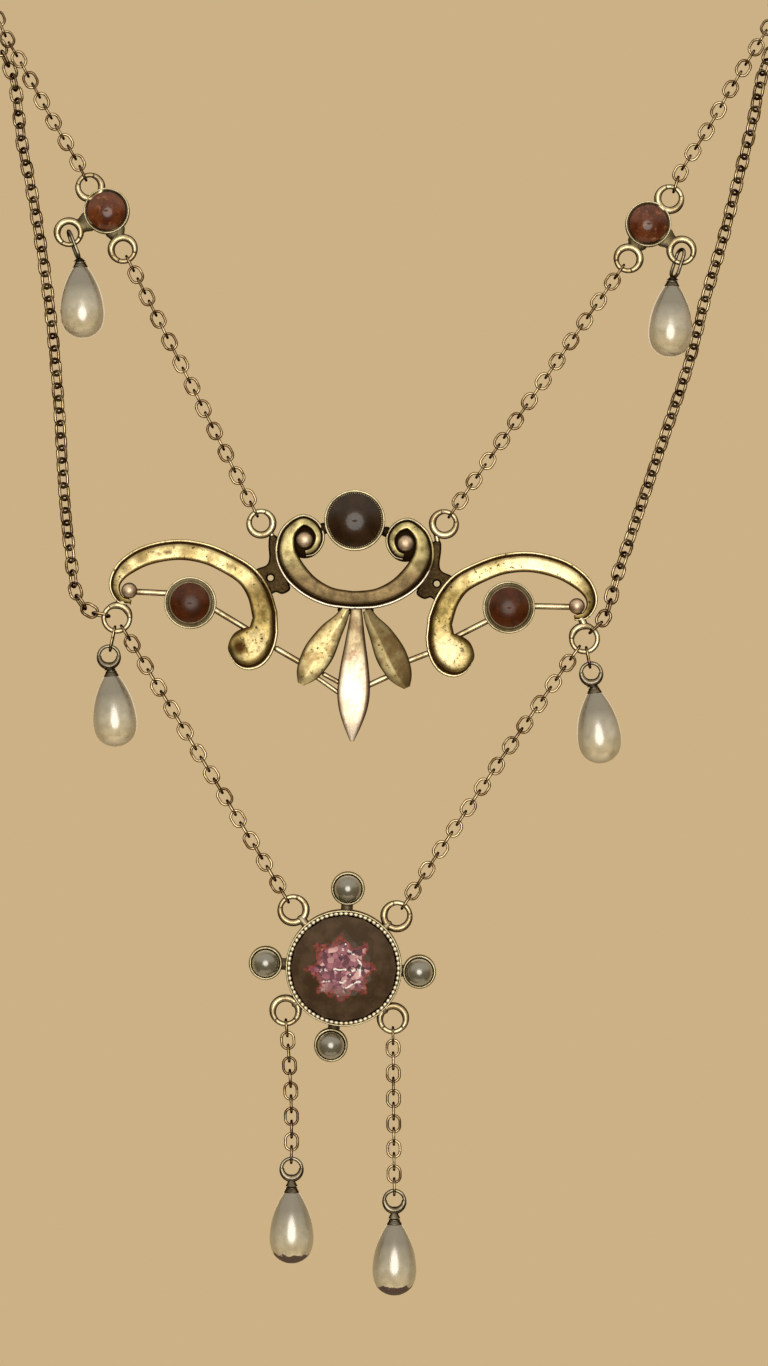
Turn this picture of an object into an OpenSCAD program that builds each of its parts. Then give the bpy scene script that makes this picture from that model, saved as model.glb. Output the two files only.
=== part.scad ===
// Lavaliere necklace: a scrollwork plaque in two strands, a paste pendant under it and six pearl drops.
// Millimetres, Z up. The whole front hangs in one plane and faces -Y, and the origin is at the nape.

/* [Wearing] */
// How far the front hangs ahead of the nape
front_depth = 112; // [100:1:120]
// How far the two join rings hang below the nape
join_drop = 42; // [36:1:50]
// Distance between the centres of the two join rings
join_span = 73.8; // [72:0.1:80]

/* [Chain] */
// Wire of a chain link
wire_d = 0.25; // [0.22:0.01:0.28]
// Width over a link
link_w = 1.38; // [1.3:0.01:1.5]
// Clearance where two links hook into each other
hook_gap = 0.11; // [0.1:0.01:0.14]
// Diameter of the closed envelope that stands for an unbroken run of the finest links
strand_d = 1.2; // [1:0.05:1.3]

/* [Rings] */
// Outer diameter of a soldered ring on the plaque and the connectors
ring_d = 2.65; // [2.5:0.05:2.8]
// Outer diameter of the two rings under the wings
wing_ring_d = 2.85; // [2.7:0.05:3]
// Wire of the soldered rings
ring_wire = 0.4; // [0.36:0.01:0.44]
// Outer diameter of a soldered ring on the pendant
pendant_ring_d = 2.85; // [2.7:0.05:3]
// Outer diameter of a join ring
join_ring_d = 3.2; // [3:0.05:3.6]

/* [Plaque] */
// Clockwise lean of the plaque as it hangs
plaque_tilt = 2; // [0:0.5:3]
// Height of the domed fronts of the scrolls above the middle plane
scroll_rise = 0.75; // [0.6:0.05:1]
// How far the flat backs of the scrolls lie behind the middle plane
scroll_back = 0.45; // [0.35:0.05:0.6]
// Outer diameter of the bezel between the two volutes
top_bezel_d = 5.6; // [5:0.1:5.8]
// Outer diameter of the bezels in the wings
wing_bezel_d = 4.8; // [4.2:0.1:4.9]

/* [Stones] */
// Wall of every bezel
bezel_wall = 0.3; // [0.25:0.05:0.4]
// Clearance between a stone or pearl and its seat
seat_gap = 0.05; // [0.04:0.01:0.08]
// Outer diameter of the bezels of the two connectors
connector_bezel_d = 4.2; // [4:0.1:4.6]
// Height of a cabochon's dome over its bezel
cabochon_rise = 0.75; // [0.5:0.05:1]

/* [Pendant] */
// Outer diameter of the pendant's rim
pendant_d = 10.7; // [10:0.1:11]
// Depth of the pendant behind its rim
pendant_depth = 2.9; // [2.6:0.1:3.4]
// Diameter of the four small pearls round the pendant
small_pearl_d = 2.5; // [2.2:0.05:2.6]

/* [Pearl drops] */
// Width of a pear-shaped pearl
pearl_w = 4.05; // [3.8:0.05:4.2]
// Height of a pear-shaped pearl
pearl_h = 7; // [6.6:0.1:7.4]
// Outer diameter of the ring on a pearl's cap
cap_ring_d = 2.2; // [2.1:0.05:2.4]
// Wire of that ring
cap_wire = 0.33; // [0.3:0.01:0.36]

/* [Hidden] */

round_fn = 48;
coarse_fn = 20;
plaque_bezel_fn = 32;
wire_fn = 8;
bright_gold = "khaki";
chain_gold = "darkgoldenrod";
left = 0;
right = 1;

// Places in the front plane are [x, z], from the middle of the line between the join rings
join_at = [[-join_span / 2, 0.45], [join_span / 2, -0.45]];
plaque_at = [-2.85, -55.2];
connector_at = [[-25.5, -19.4], [24.3, -20.6]];
pendant_at = [-3.7, -89];

// Rings soldered to a connector: angle seen from its stone, and distance from it
connector_rings = [
    [[125, 2.7], [210, 4], [-67, 3.85]],
    [[50, 3.05], [-39, 3.95], [-120, 3.7]]
];
to_join = 0;
to_pearl = 1;
to_plaque = 2;

// Rings soldered to the pendant, and its pearl cups: angle seen from its stone, and distance from it
pendant_rings = [[131, 7.1], [44.5, 6.85], [-143.5, 6.65], [-46, 6.5]];
upper_left = 0;
upper_right = 1;
lower_left = 2;
lower_right = 3;
pendant_cups = [[87, 7.3], [176.5, 7.2], [-3, 6.95], [-99.5, 7.2]];

// Places on the plaque are [u, w], from its middle and along its own leaning axes
top_stone_at = [-0.1, 7.35];
wing_stone_at = [[-14.95, -0.75], [14.35, -0.15]];
chain_ring_at = [[-8.7, 6.8], [8.15, 7.35]];
wing_ring_at = [[-21.65, -2.4], [21.4, -2.8]];
junction_at = [7.65, 1.8];
volute_boss_at = [4.65, 5.4];
wing_boss_at = [20.75, 0.1];
wing_end_at = [9.3, -4.75];
leaf_shift = 0.35;

// Scrolls and leaves as rows of [u, w, width, rise as a share of the full rise]
crescent_half = [
    [-0.6, 0.05, 1.7, 1], [0.6, 0.05, 1.7, 1], [2.3, 0.3, 1.8, 1], [4, 1.1, 2, 1], [5.35, 2.3, 2.2, 1],
    [6.2, 3.7, 2.1, 1], [6.4, 5.05, 1.75, 1], [6.05, 6.25, 1.4, 0.95], [4.95, 7.2, 1.1, 0.9],
    [3.9, 6.9, 1, 0.85], [3.3, 6.05, 0.9, 0.8], [3.3, 5.2, 0.85, 0.75], [3.8, 4.4, 0.75, 0.7],
    [4.5, 4.15, 0.6, 0.6]
];
wing = [
    [20.4, -0.9, 0.5, 0.5], [21.4, -0.65, 0.7, 0.6], [21.95, 0.35, 0.95, 0.7], [21.75, 1.4, 1.25, 0.85],
    [20.8, 2.5, 1.65, 1], [18.95, 3.55, 1.85, 1], [16.3, 4.1, 1.9, 1], [13.8, 3.85, 1.9, 1],
    [11.7, 3.05, 1.95, 1], [9.8, 1.9, 2.05, 1], [8.65, 0.3, 2.2, 1], [8.05, -1.6, 2.35, 1],
    [8.1, -3.4, 2.7, 1], [8.65, -4.65, 3, 1]
];
side_leaf = [
    [0.95, -0.85, 0.8, 0.7], [1.5, -1.9, 1.4, 0.9], [2.35, -3.15, 2.2, 1], [3.25, -4.8, 2.8, 1],
    [4, -6.2, 2.5, 1], [4.5, -7.1, 1.8, 0.85], [4.9, -7.85, 0.6, 0.45]
];
middle_leaf = [
    [0, -0.8, 1, 0.8], [0, -3.7, 1.85, 1], [0, -6, 2.6, 1], [0, -8.1, 3, 1],
    [0, -9.7, 2.75, 1], [0, -11.3, 1.8, 0.9], [0, -12.95, 0.35, 0.4]
];

// Sections of a scroll and a leaf: [share of the half width, share of the rise, negative towards the back]
scroll_section = [
    [-1, -0.6], [-1, 0.1], [-0.8, 0.6], [-0.38, 0.93], [0, 1], [0.38, 0.93], [0.8, 0.6], [1, 0.1], [1, -0.6]
];
leaf_section = [[-1, -0.35], [-1, 0.1], [-0.55, 0.72], [0, 1.05], [0.55, 0.72], [1, 0.1], [1, -0.35]];

// Pear shape as [share of the height from the top, share of the half width]
pear_profile = [
    [0, 0.12], [0.02, 0.2], [0.06, 0.3], [0.16, 0.52], [0.3, 0.75], [0.44, 0.9], [0.57, 0.975],
    [0.68, 1], [0.79, 0.95], [0.88, 0.82], [0.95, 0.58], [0.99, 0.3], [1, 0.12]
];

// Pearl drops: how far each leans from the vertical, positive towards +X at the bottom
shoulder_lean = [2.5, -2];
wing_lean = [4.5, 6];
// Height of the cap between its ring and the pearl: shoulder, wing and drop pearls
cap_stem_h = [0.1, 0.15, 0.5];
at_shoulder = 0;
at_wing = 1;
at_drop = 2;
peg_d = 0.5;
peg_depth = 1.2;
// The long loop that carries each shoulder pearl: how far it leans, and its turn from edge on
shoulder_ring_lean = [21, -18];
shoulder_loop_turn = [12, 30];
shoulder_loop_l = 3;
shoulder_loop_w = 1.5;
// Places of the cap rings under the wings
wing_cap_at = [[-25.3, -60.35], [19.05, -61.9]];
// Places of the cap rings on the pendant's drop chains
drop_cap_at = [[-8.5, -107.45], [0.95, -110.4]];

// Routes of the strands as [x, y, z] in the front frame, by hand, without their ends on the rings
upper_route = [
    [[-28.3, 0, -14.7], [-30.5, -0.4, -11], [-32, -0.8, -8.3], [-33.3, -0.9, -5.9], [-34.7, -0.8, -3.5]],
    [[27.4, 0, -15.6], [29.7, -0.4, -12], [31.8, -0.8, -8.3], [33.4, -0.9, -5.7], [34.8, -0.8, -3.4]]
];
outer_route = [
    [
        [-27.1, 0.1, -56.2], [-28.3, 0.2, -54.7], [-28.8, 0.3, -51.5], [-29.4, 0.5, -46], [-30, 1, -36.8],
        [-30.9, 1.3, -27.6], [-32.3, 1.1, -18.4], [-33.4, 1.1, -12.9], [-34.1, 1.1, -7.4],
        [-35.8, 0.9, -3.4]
    ],
    [
        [20.4, 0.1, -56.6], [21.3, 0.2, -53.4], [23.2, 0.4, -47.8], [25.7, 0.9, -40.5], [28.2, 1.6, -33.1],
        [29.6, 1.7, -27.6], [31.2, 1.3, -22.1], [32.6, 1.1, -16.6], [34, 1.1, -11], [34.9, 1.1, -6.6],
        [36.2, 0.9, -3.3]
    ]
];
// Angles at which the two strands and the back chain hook into a join ring, as seen on the right one
join_hooks = [-136, -86, 70];
route_steps = 6;
// Angle at which an upper chain hooks into its connector's ring
upper_hook = [118, 62];
// Links in each chain from the wide end, an odd number so that both end links pass through their rings
upper_links = [17, 17];
lower_links = [23, 25];
v_links = [25, 25];
drop_links = [11, 13];
// How far a chain bows out of the straight line, positive towards the middle for a V chain
v_sag = [0, 0.15];
drop_sag = [0.2, 0];

// The back chain leaves the join ring upwards, swings round the side of the neck and closes at the clasp
back_rise = [10, 0, 27];
back_swing = [62, -34, 0];
back_nape_x = 26;
back_rings = 20;
strand_rings = 20;
strand_gap = 0.5;
// Far points that the rings of the strands' tubes turn about
outer_turned_to = [0, -1000, -30];
back_turned_to = [0, -front_depth / 2, -10];
clasp_d = 2.6;
clasp_l = 7;
clasp_ring_d = 2;
clasp_wire = 0.4;

sides = [-1, 1];
ring_r = (ring_d - ring_wire) / 2;
wing_ring_r = (wing_ring_d - ring_wire) / 2;
pendant_ring_r = (pendant_ring_d - ring_wire) / 2;
join_ring_r = (join_ring_d - ring_wire) / 2;
cap_ring_r = (cap_ring_d - cap_wire) / 2;
clasp_ring_r = (clasp_ring_d - clasp_wire) / 2;
clasp_end_x = clasp_l / 2 + clasp_ring_r + clasp_wire / 4;

function unit(v) = v / norm(v);
function polar(angle, r) = r * [cos(angle), sin(angle)];
function in_front(p) = [p.x, 0, p.y];
function on_plaque(p) =
    let (c = cos(plaque_tilt), s = sin(plaque_tilt)) plaque_at + [c * p.x + s * p.y, c * p.y - s * p.x];

// A smooth curve through rows of numbers, steps pieces between each two rows
function spline_at(rows, i, t) =
    let (
        n = len(rows) - 1,
        a = rows[max(i - 1, 0)],
        b = rows[i],
        c = rows[min(i + 1, n)],
        d = rows[min(i + 2, n)]
    )
    0.5 * (2 * b + (c - a) * t + (2 * a - 5 * b + 4 * c - d) * t * t + (3 * b - a - 3 * c + d) * t * t * t);
function spline(rows, steps) = concat(
    [for (i = [0:len(rows) - 2], k = [0:steps - 1]) spline_at(rows, i, k / steps)],
    [rows[len(rows) - 1]]
);

// The distance run at each point of a path, and count + 1 points that divide the path evenly
function step_length(path, i) = i + 1 < len(path) ? norm(path[i + 1] - path[i]) : 0;
function runs(path) = [for (i = 0, s = 0; i < len(path); s = s + step_length(path, i), i = i + 1) s];
function divided(path, count) =
    let (
        run = runs(path),
        total = run[len(run) - 1],
        table = [for (axis = [0:2]) [for (i = [0:len(path) - 1]) [run[i], path[i][axis]]]]
    )
    [for (k = [0:count]) [for (axis = [0:2]) lookup(total * k / count, table[axis])]];

// Where a link that hooks into a ring meets it, towards a place outside the ring
function hook(centre, ring_radius, wire, towards) =
    in_front(centre) + (ring_radius - (wire + hook_gap) / 2) * unit(in_front(towards) - in_front(centre));
function hook_at(centre, ring_radius, wire, angle) =
    in_front(centre) + (ring_radius - (wire + hook_gap) / 2) * in_front(polar(angle, 1));
// A nearly straight run between two points that bows sideways by sag at its middle
function sagging(a, b, sag) =
    let (n = 12, aside = unit(cross(b - a, [0, sign(a.x), 0])))
    [for (k = [0:n]) let (t = k / n) a + (b - a) * t - 4 * sag * t * (1 - t) * aside];

// Frames: what faces the wearer's front, and a turn that lays round shapes along Y
module front() translate([0, -front_depth, -join_drop]) children();
module at(p, depth = 0) translate([p.x, depth, p.y]) children();
module facing() rotate([90, 0, 0]) children();
module leaning() at(plaque_at) rotate([0, plaque_tilt, 0]) children();
module aligned(a, b) {
    x = unit(b - a);
    z = unit(cross(x, [0, 1, 0]));
    y = cross(z, x);
    m = (a + b) / 2;
    multmatrix([[x.x, y.x, z.x, m.x], [x.y, y.y, z.y, m.y], [x.z, y.z, z.z, m.z], [0, 0, 0, 1]]) children();
}

// A round wire bent to a part of a circle about Z, and a whole ring of it in the front plane
module bend(radius, wire, angle) rotate_extrude(angle = angle, $fn = round_fn)
    translate([radius, 0]) circle(d = wire, $fn = round_fn);
module ring(radius, wire) facing() bend(radius, wire, 360);

// An oval of wire in the XY plane, its length along X. Its sides are a touch thinner than its bends
// and run a little way into them.
side_share = 0.97;
side_lap = 0.04;
module oval(straight, width, wire) for (s = sides) {
    bend_r = (width - wire) / 2;
    translate([s * straight / 2, 0, 0]) rotate([0, 0, -90 * s]) bend(bend_r, wire, 180);
    translate([0, s * bend_r, 0]) rotate([0, 90, 0])
        cylinder(h = straight + 2 * side_lap, d = side_share * wire, center = true, $fn = round_fn);
}

// One link hooked between two points, its plane turned about its length by roll
module link(a, b, roll) aligned(a, b) rotate([90 + roll, 0, 0])
    oval(norm(b - a) + hook_gap - link_w + 2 * wire_d, link_w, wire_d);

module chain(path, count) {
    joints = divided(path, count);
    color(chain_gold) front() for (i = [0:count - 1]) link(joints[i], joints[i + 1], i % 2 == 0 ? 90 : 0);
}

// A closed skin over rings of points, count points in each ring
module skin(points, count) {
    last = len(points) / count - 1;
    walls = [
        for (i = [0:last - 1], k = [0:count - 1])
            let (here = i * count, there = here + count, next = (k + 1) % count)
            each [[here + k, here + next, there + k], [here + next, there + next, there + k]]
    ];
    start = [for (k = [count - 1:-1:0]) k];
    end = [for (k = [0:count - 1]) last * count + k];
    polyhedron(points = points, faces = concat(walls, [start, end]), convexity = 8);
}

// A tube round a path, its rings square to the path and turned evenly about a far point
tube_sides = 8;
module tube(path, diameter, turned_to) {
    last = len(path) - 1;
    skin([
        for (i = [0:last])
            let (
                along = unit(path[min(i + 1, last)] - path[max(i - 1, 0)]),
                across = unit(cross(along, turned_to - path[i])),
                over = cross(across, along)
            )
            for (k = [0:tube_sides - 1])
                let (turn = 360 * k / tube_sides)
                path[i] + diameter / 2 * (across * cos(turn) + over * sin(turn))
    ], tube_sides);
}

// A ribbon of metal with a domed front, laid in the plane along rows of [u, w, width, rise]
ribbon_steps = 2;
module ribbon(rows, section, rise) {
    path = spline(rows, ribbon_steps);
    last = len(path) - 1;
    skin([
        for (i = [0:last])
            let (
                ahead = path[min(i + 1, last)] - path[max(i - 1, 0)],
                along = unit([ahead.x, ahead.y]),
                across = [-along.y, along.x] * path[i][2] / 2
            )
            for (p = section)
                let (up = rise * p.y * (p.y < 0 ? 1 : path[i][3]))
                [path[i].x + across.x * p.x, -up, path[i].y + across.y * p.x]
    ], len(section));
}

// A wire or a run of solder between two places on the plaque
module bar(a, b, d, depth) hull() for (p = [a, b]) at(p, depth) sphere(d = d, $fn = wire_fn);

// A round disc or hole that stands in the front plane from one depth towards the front
module disc(d, from, h, fn = round_fn) facing() translate([0, 0, from]) cylinder(h = h, d = d, $fn = fn);

// An open bezel with a closed back
bezel_front = 0.35;
bezel_back = 0.6;
bezel_floor = 0.3;
cut_h = 3;
module pocket(d, fn = round_fn) disc(d - 2 * bezel_wall, bezel_floor - bezel_back, cut_h, fn);
module bezel(d, fn = round_fn) difference() {
    disc(d, -bezel_back, bezel_front + bezel_back, fn);
    pocket(d, fn);
}

// A cabochon that fills a bezel and rises out of it as a part of a sphere
module cabochon(d) {
    base_r = d / 2 - bezel_wall - seat_gap;
    base = bezel_floor + seat_gap - bezel_back;
    top = bezel_front + cabochon_rise;
    dome_r = (base_r * base_r + cabochon_rise * cabochon_rise) / (2 * cabochon_rise);
    intersection() {
        disc(2 * base_r, base, top - base);
        facing() translate([0, 0, top - dome_r]) sphere(r = dome_r, $fn = 2 * round_fn);
    }
}

module mirrored() for (s = sides) scale([s, 1, 1]) children();

// Bosses as [lower diameter, upper diameter, height] from the flat back of the scrolls
volute_boss = [2.1, 1.5, 1.1];
volute_plate = [3.4, 3.4, 0.25];
wing_boss = [1.6, 1.1, 1.1];
wing_end_plate = [4, 4, 0.5];
wing_end_dome = [2.4, 2.4, 1.2];
module boss(size) facing() translate([0, 0, -scroll_back])
    cylinder(h = size[2], d1 = size[0], d2 = size[1], $fn = coarse_fn);

module crescent() mirrored() {
    ribbon(crescent_half, scroll_section, scroll_rise);
    at(volute_boss_at) {
        boss(volute_boss);
        boss(volute_plate);
    }
}

module wings() mirrored() {
    ribbon(wing, scroll_section, scroll_rise);
    at(wing_boss_at) boss(wing_boss);
    at(wing_end_at) hull() {
        boss(wing_end_plate);
        boss(wing_end_dome);
    }
}

middle_leaf_rise = 0.9;
side_leaf_rise = 0.8;
module leaves() translate([leaf_shift, 0, 0]) {
    ribbon(middle_leaf, leaf_section, middle_leaf_rise);
    mirrored() ribbon(side_leaf, leaf_section, side_leaf_rise);
}

module coarse_ring(radius) facing() rotate_extrude($fn = coarse_fn) translate([radius, 0])
    circle(d = ring_wire, $fn = wire_fn);
module plaque_rings() for (i = [left, right]) {
    at(chain_ring_at[i]) coarse_ring(ring_r);
    at(wing_ring_at[i]) coarse_ring(wing_ring_r);
}

// Solder between the crescent, a wing and a ring as an outline of [u, w], with a small hole in it
solder_outline = [
    [7, 5.7], [7.95, 5.9], [8.05, 4.8], [7.95, 3.6], [8.2, 2.95], [9.3, 2.5], [9, 1.4], [7.9, 0.8],
    [7.75, 0.1], [7.1, 0.4], [6.5, 0.2], [5.6, 0.8], [6.1, 1.9], [6.8, 3.2], [7, 4.4]
];
solder_h = 0.5;
solder_back = 0.3;
solder_hole_d = 0.6;
solder_round = 0.2;
module solder() difference() {
    facing() translate([0, 0, -solder_back]) linear_extrude(height = solder_h)
        offset(r = -solder_round, $fn = wire_fn) offset(r = 2 * solder_round, $fn = wire_fn)
            offset(delta = -solder_round) polygon(solder_outline);
    at(junction_at) disc(solder_hole_d, -cut_h / 2, cut_h, coarse_fn);
}

// Wires that hold stones, rings and leaves: [start, end, diameter, depth]
paired_wires = [
    [[20.2, 0.1], [16.7, 0.05], 0.4, 0.1], [[12.85, -1.2], [9.7, -2.95], 0.4, 0.1]
];
single_wires = [
    [[-6.85, -4.7], [-4.6, -5.9], 0.4, 0.1], [[-2.4, -6.9], [-0.8, -7.7], 0.4, 0.1],
    [[-3, -7.25], [-1.1, -8.5], 0.35, 0.1], [[7, -4.65], [5, -5.5], 0.4, 0.1],
    [[1.4, -7.9], [3.4, -6.9], 0.45, 0.1],
    [[-2.9, 6.4], [3, 6.4], 0.7, 0.2], [[-1.2, -0.7], [2, -0.8], 0.9, 0.05]
];
ring_wires = [
    for (i = [left, right]) each [
        [[sides[i] * 20.9, -0.7], wing_ring_at[i] + [0, wing_ring_r], 0.7, 0.1],
        [[sides[i] * 7.6, 5.6], chain_ring_at[i] + [-sides[i] * 0.8, -0.7], 0.5, 0.1]
    ]
];
module wires(list) for (w = list) bar(w[0], w[1], w[2], w[3]);

module plaque_frame() color(bright_gold) front() leaning() difference() {
    union() {
        crescent();
        wings();
        leaves();
        plaque_rings();
        mirrored() {
            solder();
            wires(paired_wires);
        }
        wires(concat(single_wires, ring_wires));
        at(top_stone_at) bezel(top_bezel_d, plaque_bezel_fn);
        for (p = wing_stone_at) at(p) bezel(wing_bezel_d, plaque_bezel_fn);
    }
    at(top_stone_at) pocket(top_bezel_d, plaque_bezel_fn);
    for (p = wing_stone_at) at(p) pocket(wing_bezel_d, plaque_bezel_fn);
}

module plaque_stone_top() color("#241812") front() leaning() at(top_stone_at) cabochon(top_bezel_d);
module plaque_stone(i) color("#4a1a10") front() leaning() at(wing_stone_at[i]) cabochon(wing_bezel_d);

// The place of a ring that is soldered to a connector or the pendant
function connector_ring(i, which) =
    connector_at[i] + polar(connector_rings[i][which][0], connector_rings[i][which][1]);
function pendant_ring(which) = pendant_at + polar(pendant_rings[which][0], pendant_rings[which][1]);

// A flat web of solder between a bezel and a ring at reach along X
web_back = 0.3;
web_h = 0.45;
web_start = 1.2;
web_half_w = [1.2, 0.7];
module web(reach) facing() translate([0, 0, -web_back]) linear_extrude(height = web_h) polygon([
    [web_start, -web_half_w[0]], [web_start, web_half_w[0]], [reach - ring_r, web_half_w[1]],
    [reach - ring_r, -web_half_w[1]]
]);

module connector(i) color(bright_gold) front() at(connector_at[i]) difference() {
    union() {
        bezel(connector_bezel_d);
        for (r = connector_rings[i]) {
            at(polar(r[0], r[1])) ring(ring_r, ring_wire);
            rotate([0, -r[0], 0]) web(r[1]);
        }
    }
    pocket(connector_bezel_d);
}
module connector_stone(i) color("#7a3210") front() at(connector_at[i]) cabochon(connector_bezel_d);

cup_d = 3.1;
cup_front = 0.25;
cup_back = 1.25;
cup_floor = 0.25;
small_pearl_depth = -0.3;
module pearl_cup() difference() {
    disc(cup_d, -cup_back, cup_front + cup_back);
    disc(small_pearl_d + 2 * seat_gap, cup_floor - cup_back, cut_h);
}

// Rays that join a ring or cup to the rim of the pendant
pendant_rim = 0.75;
pendant_floor = 0.3;
pendant_wall = 0.45;
pendant_inner_r = pendant_d / 2 - pendant_wall;
module spoke(angle, reach, d, depth = 0) translate([0, depth, 0]) rotate([0, 90 - angle, 0])
    translate([0, 0, pendant_inner_r]) cylinder(h = reach - pendant_inner_r, d = d, $fn = round_fn);

ring_spoke_d = 0.8;
cup_spoke_d = 1.1;
cup_spoke_depth = 0.5;
module pendant_frame() color(bright_gold) front() at(pendant_at) {
    difference() {
        disc(pendant_d, pendant_rim - pendant_depth, pendant_depth, 2 * round_fn);
        disc(2 * pendant_inner_r, pendant_rim - pendant_depth + pendant_floor, pendant_depth, 2 * round_fn);
    }
    for (r = pendant_rings) {
        at(polar(r[0], r[1])) ring(pendant_ring_r, ring_wire);
        spoke(r[0], r[1] - pendant_ring_r, ring_spoke_d);
    }
    for (c = pendant_cups) {
        difference() {
            spoke(c[0], c[1], cup_spoke_d, cup_spoke_depth);
            at(polar(c[0], c[1])) disc(cup_d - bezel_wall, cup_floor - cup_back, cut_h);
        }
        at(polar(c[0], c[1])) pearl_cup();
    }
}

// A round brilliant from its eight-sided table to a small flat under its pavilion:
// levels as [sides, share of the radius, height, turn]
brilliant = [
    [8, 0.55, 1.55, 22.5], [8, 0.82, 1.15, 0], [16, 1, 0.7, 11.25],
    [16, 1, 0.5, 11.25], [8, 0.6, -0.7, 22.5], [8, 0.12, -1.7, 22.5]
];
level_h = 0.01;
module pendant_stone() color("#5c4a48") front() at(pendant_at) facing() hull() for (level = brilliant)
    translate([0, 0, level[2]]) rotate([0, 0, level[3]]) linear_extrude(height = level_h)
        circle(r = level[1] * (pendant_inner_r - seat_gap), $fn = level[0]);

module pendant_pearl(i) color("#a9a18f") front()
    at(pendant_at + polar(pendant_cups[i][0], pendant_cups[i][1]), small_pearl_depth)
        sphere(d = small_pearl_d, $fn = round_fn);

// Pearl drops hang from the ring of their cap, or at the shoulders from its loop, which hooks straight into
// a connector's ring. The ring or loop leans by itself, and the stem of the cap starts at its lower end.
module under_ring(place, ring_lean, lean) front() at(place + polar(ring_lean - 90, cap_ring_d / 2))
    rotate([0, -lean, 0]) children();

module pearl(place, ring_lean, lean, where) color("#cfc6b2") under_ring(place, ring_lean, lean)
    translate([0, 0, -cap_stem_h[where] - seat_gap]) difference() {
        rotate_extrude($fn = round_fn) polygon(concat(
            [[0, 0]], [for (p = pear_profile) [p[1] * pearl_w / 2, -p[0] * pearl_h]], [[0, -pearl_h]]
        ));
        translate([0, 0, -peg_depth - seat_gap])
            cylinder(h = cut_h, d = peg_d + 2 * seat_gap, $fn = round_fn);
    }

stem_d = 1.1;
stem_top_d = 0.4;
stem_lap = 0.2;
peg_lap = 0.1;
module stem(place, ring_lean, lean, where)
    under_ring(place, ring_lean, lean) translate([0, 0, -cap_stem_h[where]]) {
        cylinder(h = cap_stem_h[where] + stem_lap, d1 = stem_d, d2 = stem_top_d, $fn = round_fn);
        translate([0, 0, -peg_depth]) cylinder(h = peg_depth + peg_lap, d = peg_d, $fn = round_fn);
    }
module cap(place, lean, where) color("silver") {
    front() at(place) rotate([0, -lean, 0]) ring(cap_ring_r, cap_wire);
    stem(place, lean, lean, where);
}

function shoulder_cap_at(i) = connector_ring(i, to_pearl)
    + polar(shoulder_ring_lean[i] - 90, ring_r - (ring_wire + cap_wire) / 2 - hook_gap + cap_ring_r);
function wing_ring(i) = on_plaque(wing_ring_at[i]);

module shoulder_pearl(i) pearl(shoulder_cap_at(i), shoulder_ring_lean[i], shoulder_lean[i], at_shoulder);
module shoulder_cap(i) color("silver") {
    place = shoulder_cap_at(i) + polar(shoulder_ring_lean[i] - 90, (cap_ring_d - shoulder_loop_l) / 2);
    front() at(place) rotate([0, -shoulder_ring_lean[i], 0]) rotate([0, 0, shoulder_loop_turn[i]])
        rotate([0, -90, 0]) oval(shoulder_loop_l - shoulder_loop_w, shoulder_loop_w, cap_wire);
    stem(shoulder_cap_at(i), shoulder_ring_lean[i], shoulder_lean[i], at_shoulder);
}
module wing_pearl(i) pearl(wing_cap_at[i], wing_lean[i], wing_lean[i], at_wing);
module wing_cap(i) cap(wing_cap_at[i], wing_lean[i], at_wing);
module drop_pearl(i) pearl(drop_cap_at[i], 0, 0, at_drop);
module drop_cap(i) cap(drop_cap_at[i], 0, at_drop);

module wing_link(i) color(chain_gold) front() link(
    hook(wing_ring(i), wing_ring_r, ring_wire, wing_cap_at[i]),
    hook(wing_cap_at[i], cap_ring_r, cap_wire, wing_ring(i)),
    90
);

// Chains from ring to ring
function join_hook(i, which) =
    hook_at(join_at[i], join_ring_r, ring_wire, i == right ? join_hooks[which] : 180 - join_hooks[which]);
module straight_chain(a, a_r, b, b_r, b_wire, count, sag = 0)
    chain(sagging(hook(a, a_r, ring_wire, b), hook(b, b_r, b_wire, a), sag), count);

module upper_chain(i) {
    from = connector_ring(i, to_join);
    start = hook_at(from, ring_r, ring_wire, upper_hook[i]);
    chain(spline(concat([start], upper_route[i], [join_hook(i, 0)]), route_steps), upper_links[i]);
}
module lower_chain(i) straight_chain(
    connector_ring(i, to_plaque), ring_r, on_plaque(chain_ring_at[i]), ring_r, ring_wire, lower_links[i]
);
module v_chain(i) straight_chain(
    wing_ring(i), wing_ring_r, pendant_ring(i == left ? upper_left : upper_right), pendant_ring_r,
    ring_wire, v_links[i], v_sag[i]
);
module drop_chain(i) straight_chain(
    pendant_ring(i == left ? lower_left : lower_right), pendant_ring_r, drop_cap_at[i], cap_ring_r,
    cap_wire, drop_links[i], drop_sag[i]
);

// Where a strand's tube starts, a small gap outside a ring
function off_ring(centre, ring_d, towards) = centre + (ring_d / 2 + strand_gap) * unit(towards - centre);

// The outer strands run from the ring under a wing's volute up to the join ring
module outer_strand(i) {
    start = off_ring(in_front(wing_ring(i)), wing_ring_d, outer_route[i][0]);
    end = off_ring(in_front(join_at[i]), join_ring_d, join_hook(i, 1));
    path = divided(spline(concat([start], outer_route[i], [end]), route_steps), strand_rings - 1);
    color(chain_gold) front() tube(path, strand_d, outer_turned_to);
}

module join_ring(i) color(bright_gold) front() at(join_at[i]) ring(join_ring_r, ring_wire);

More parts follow.
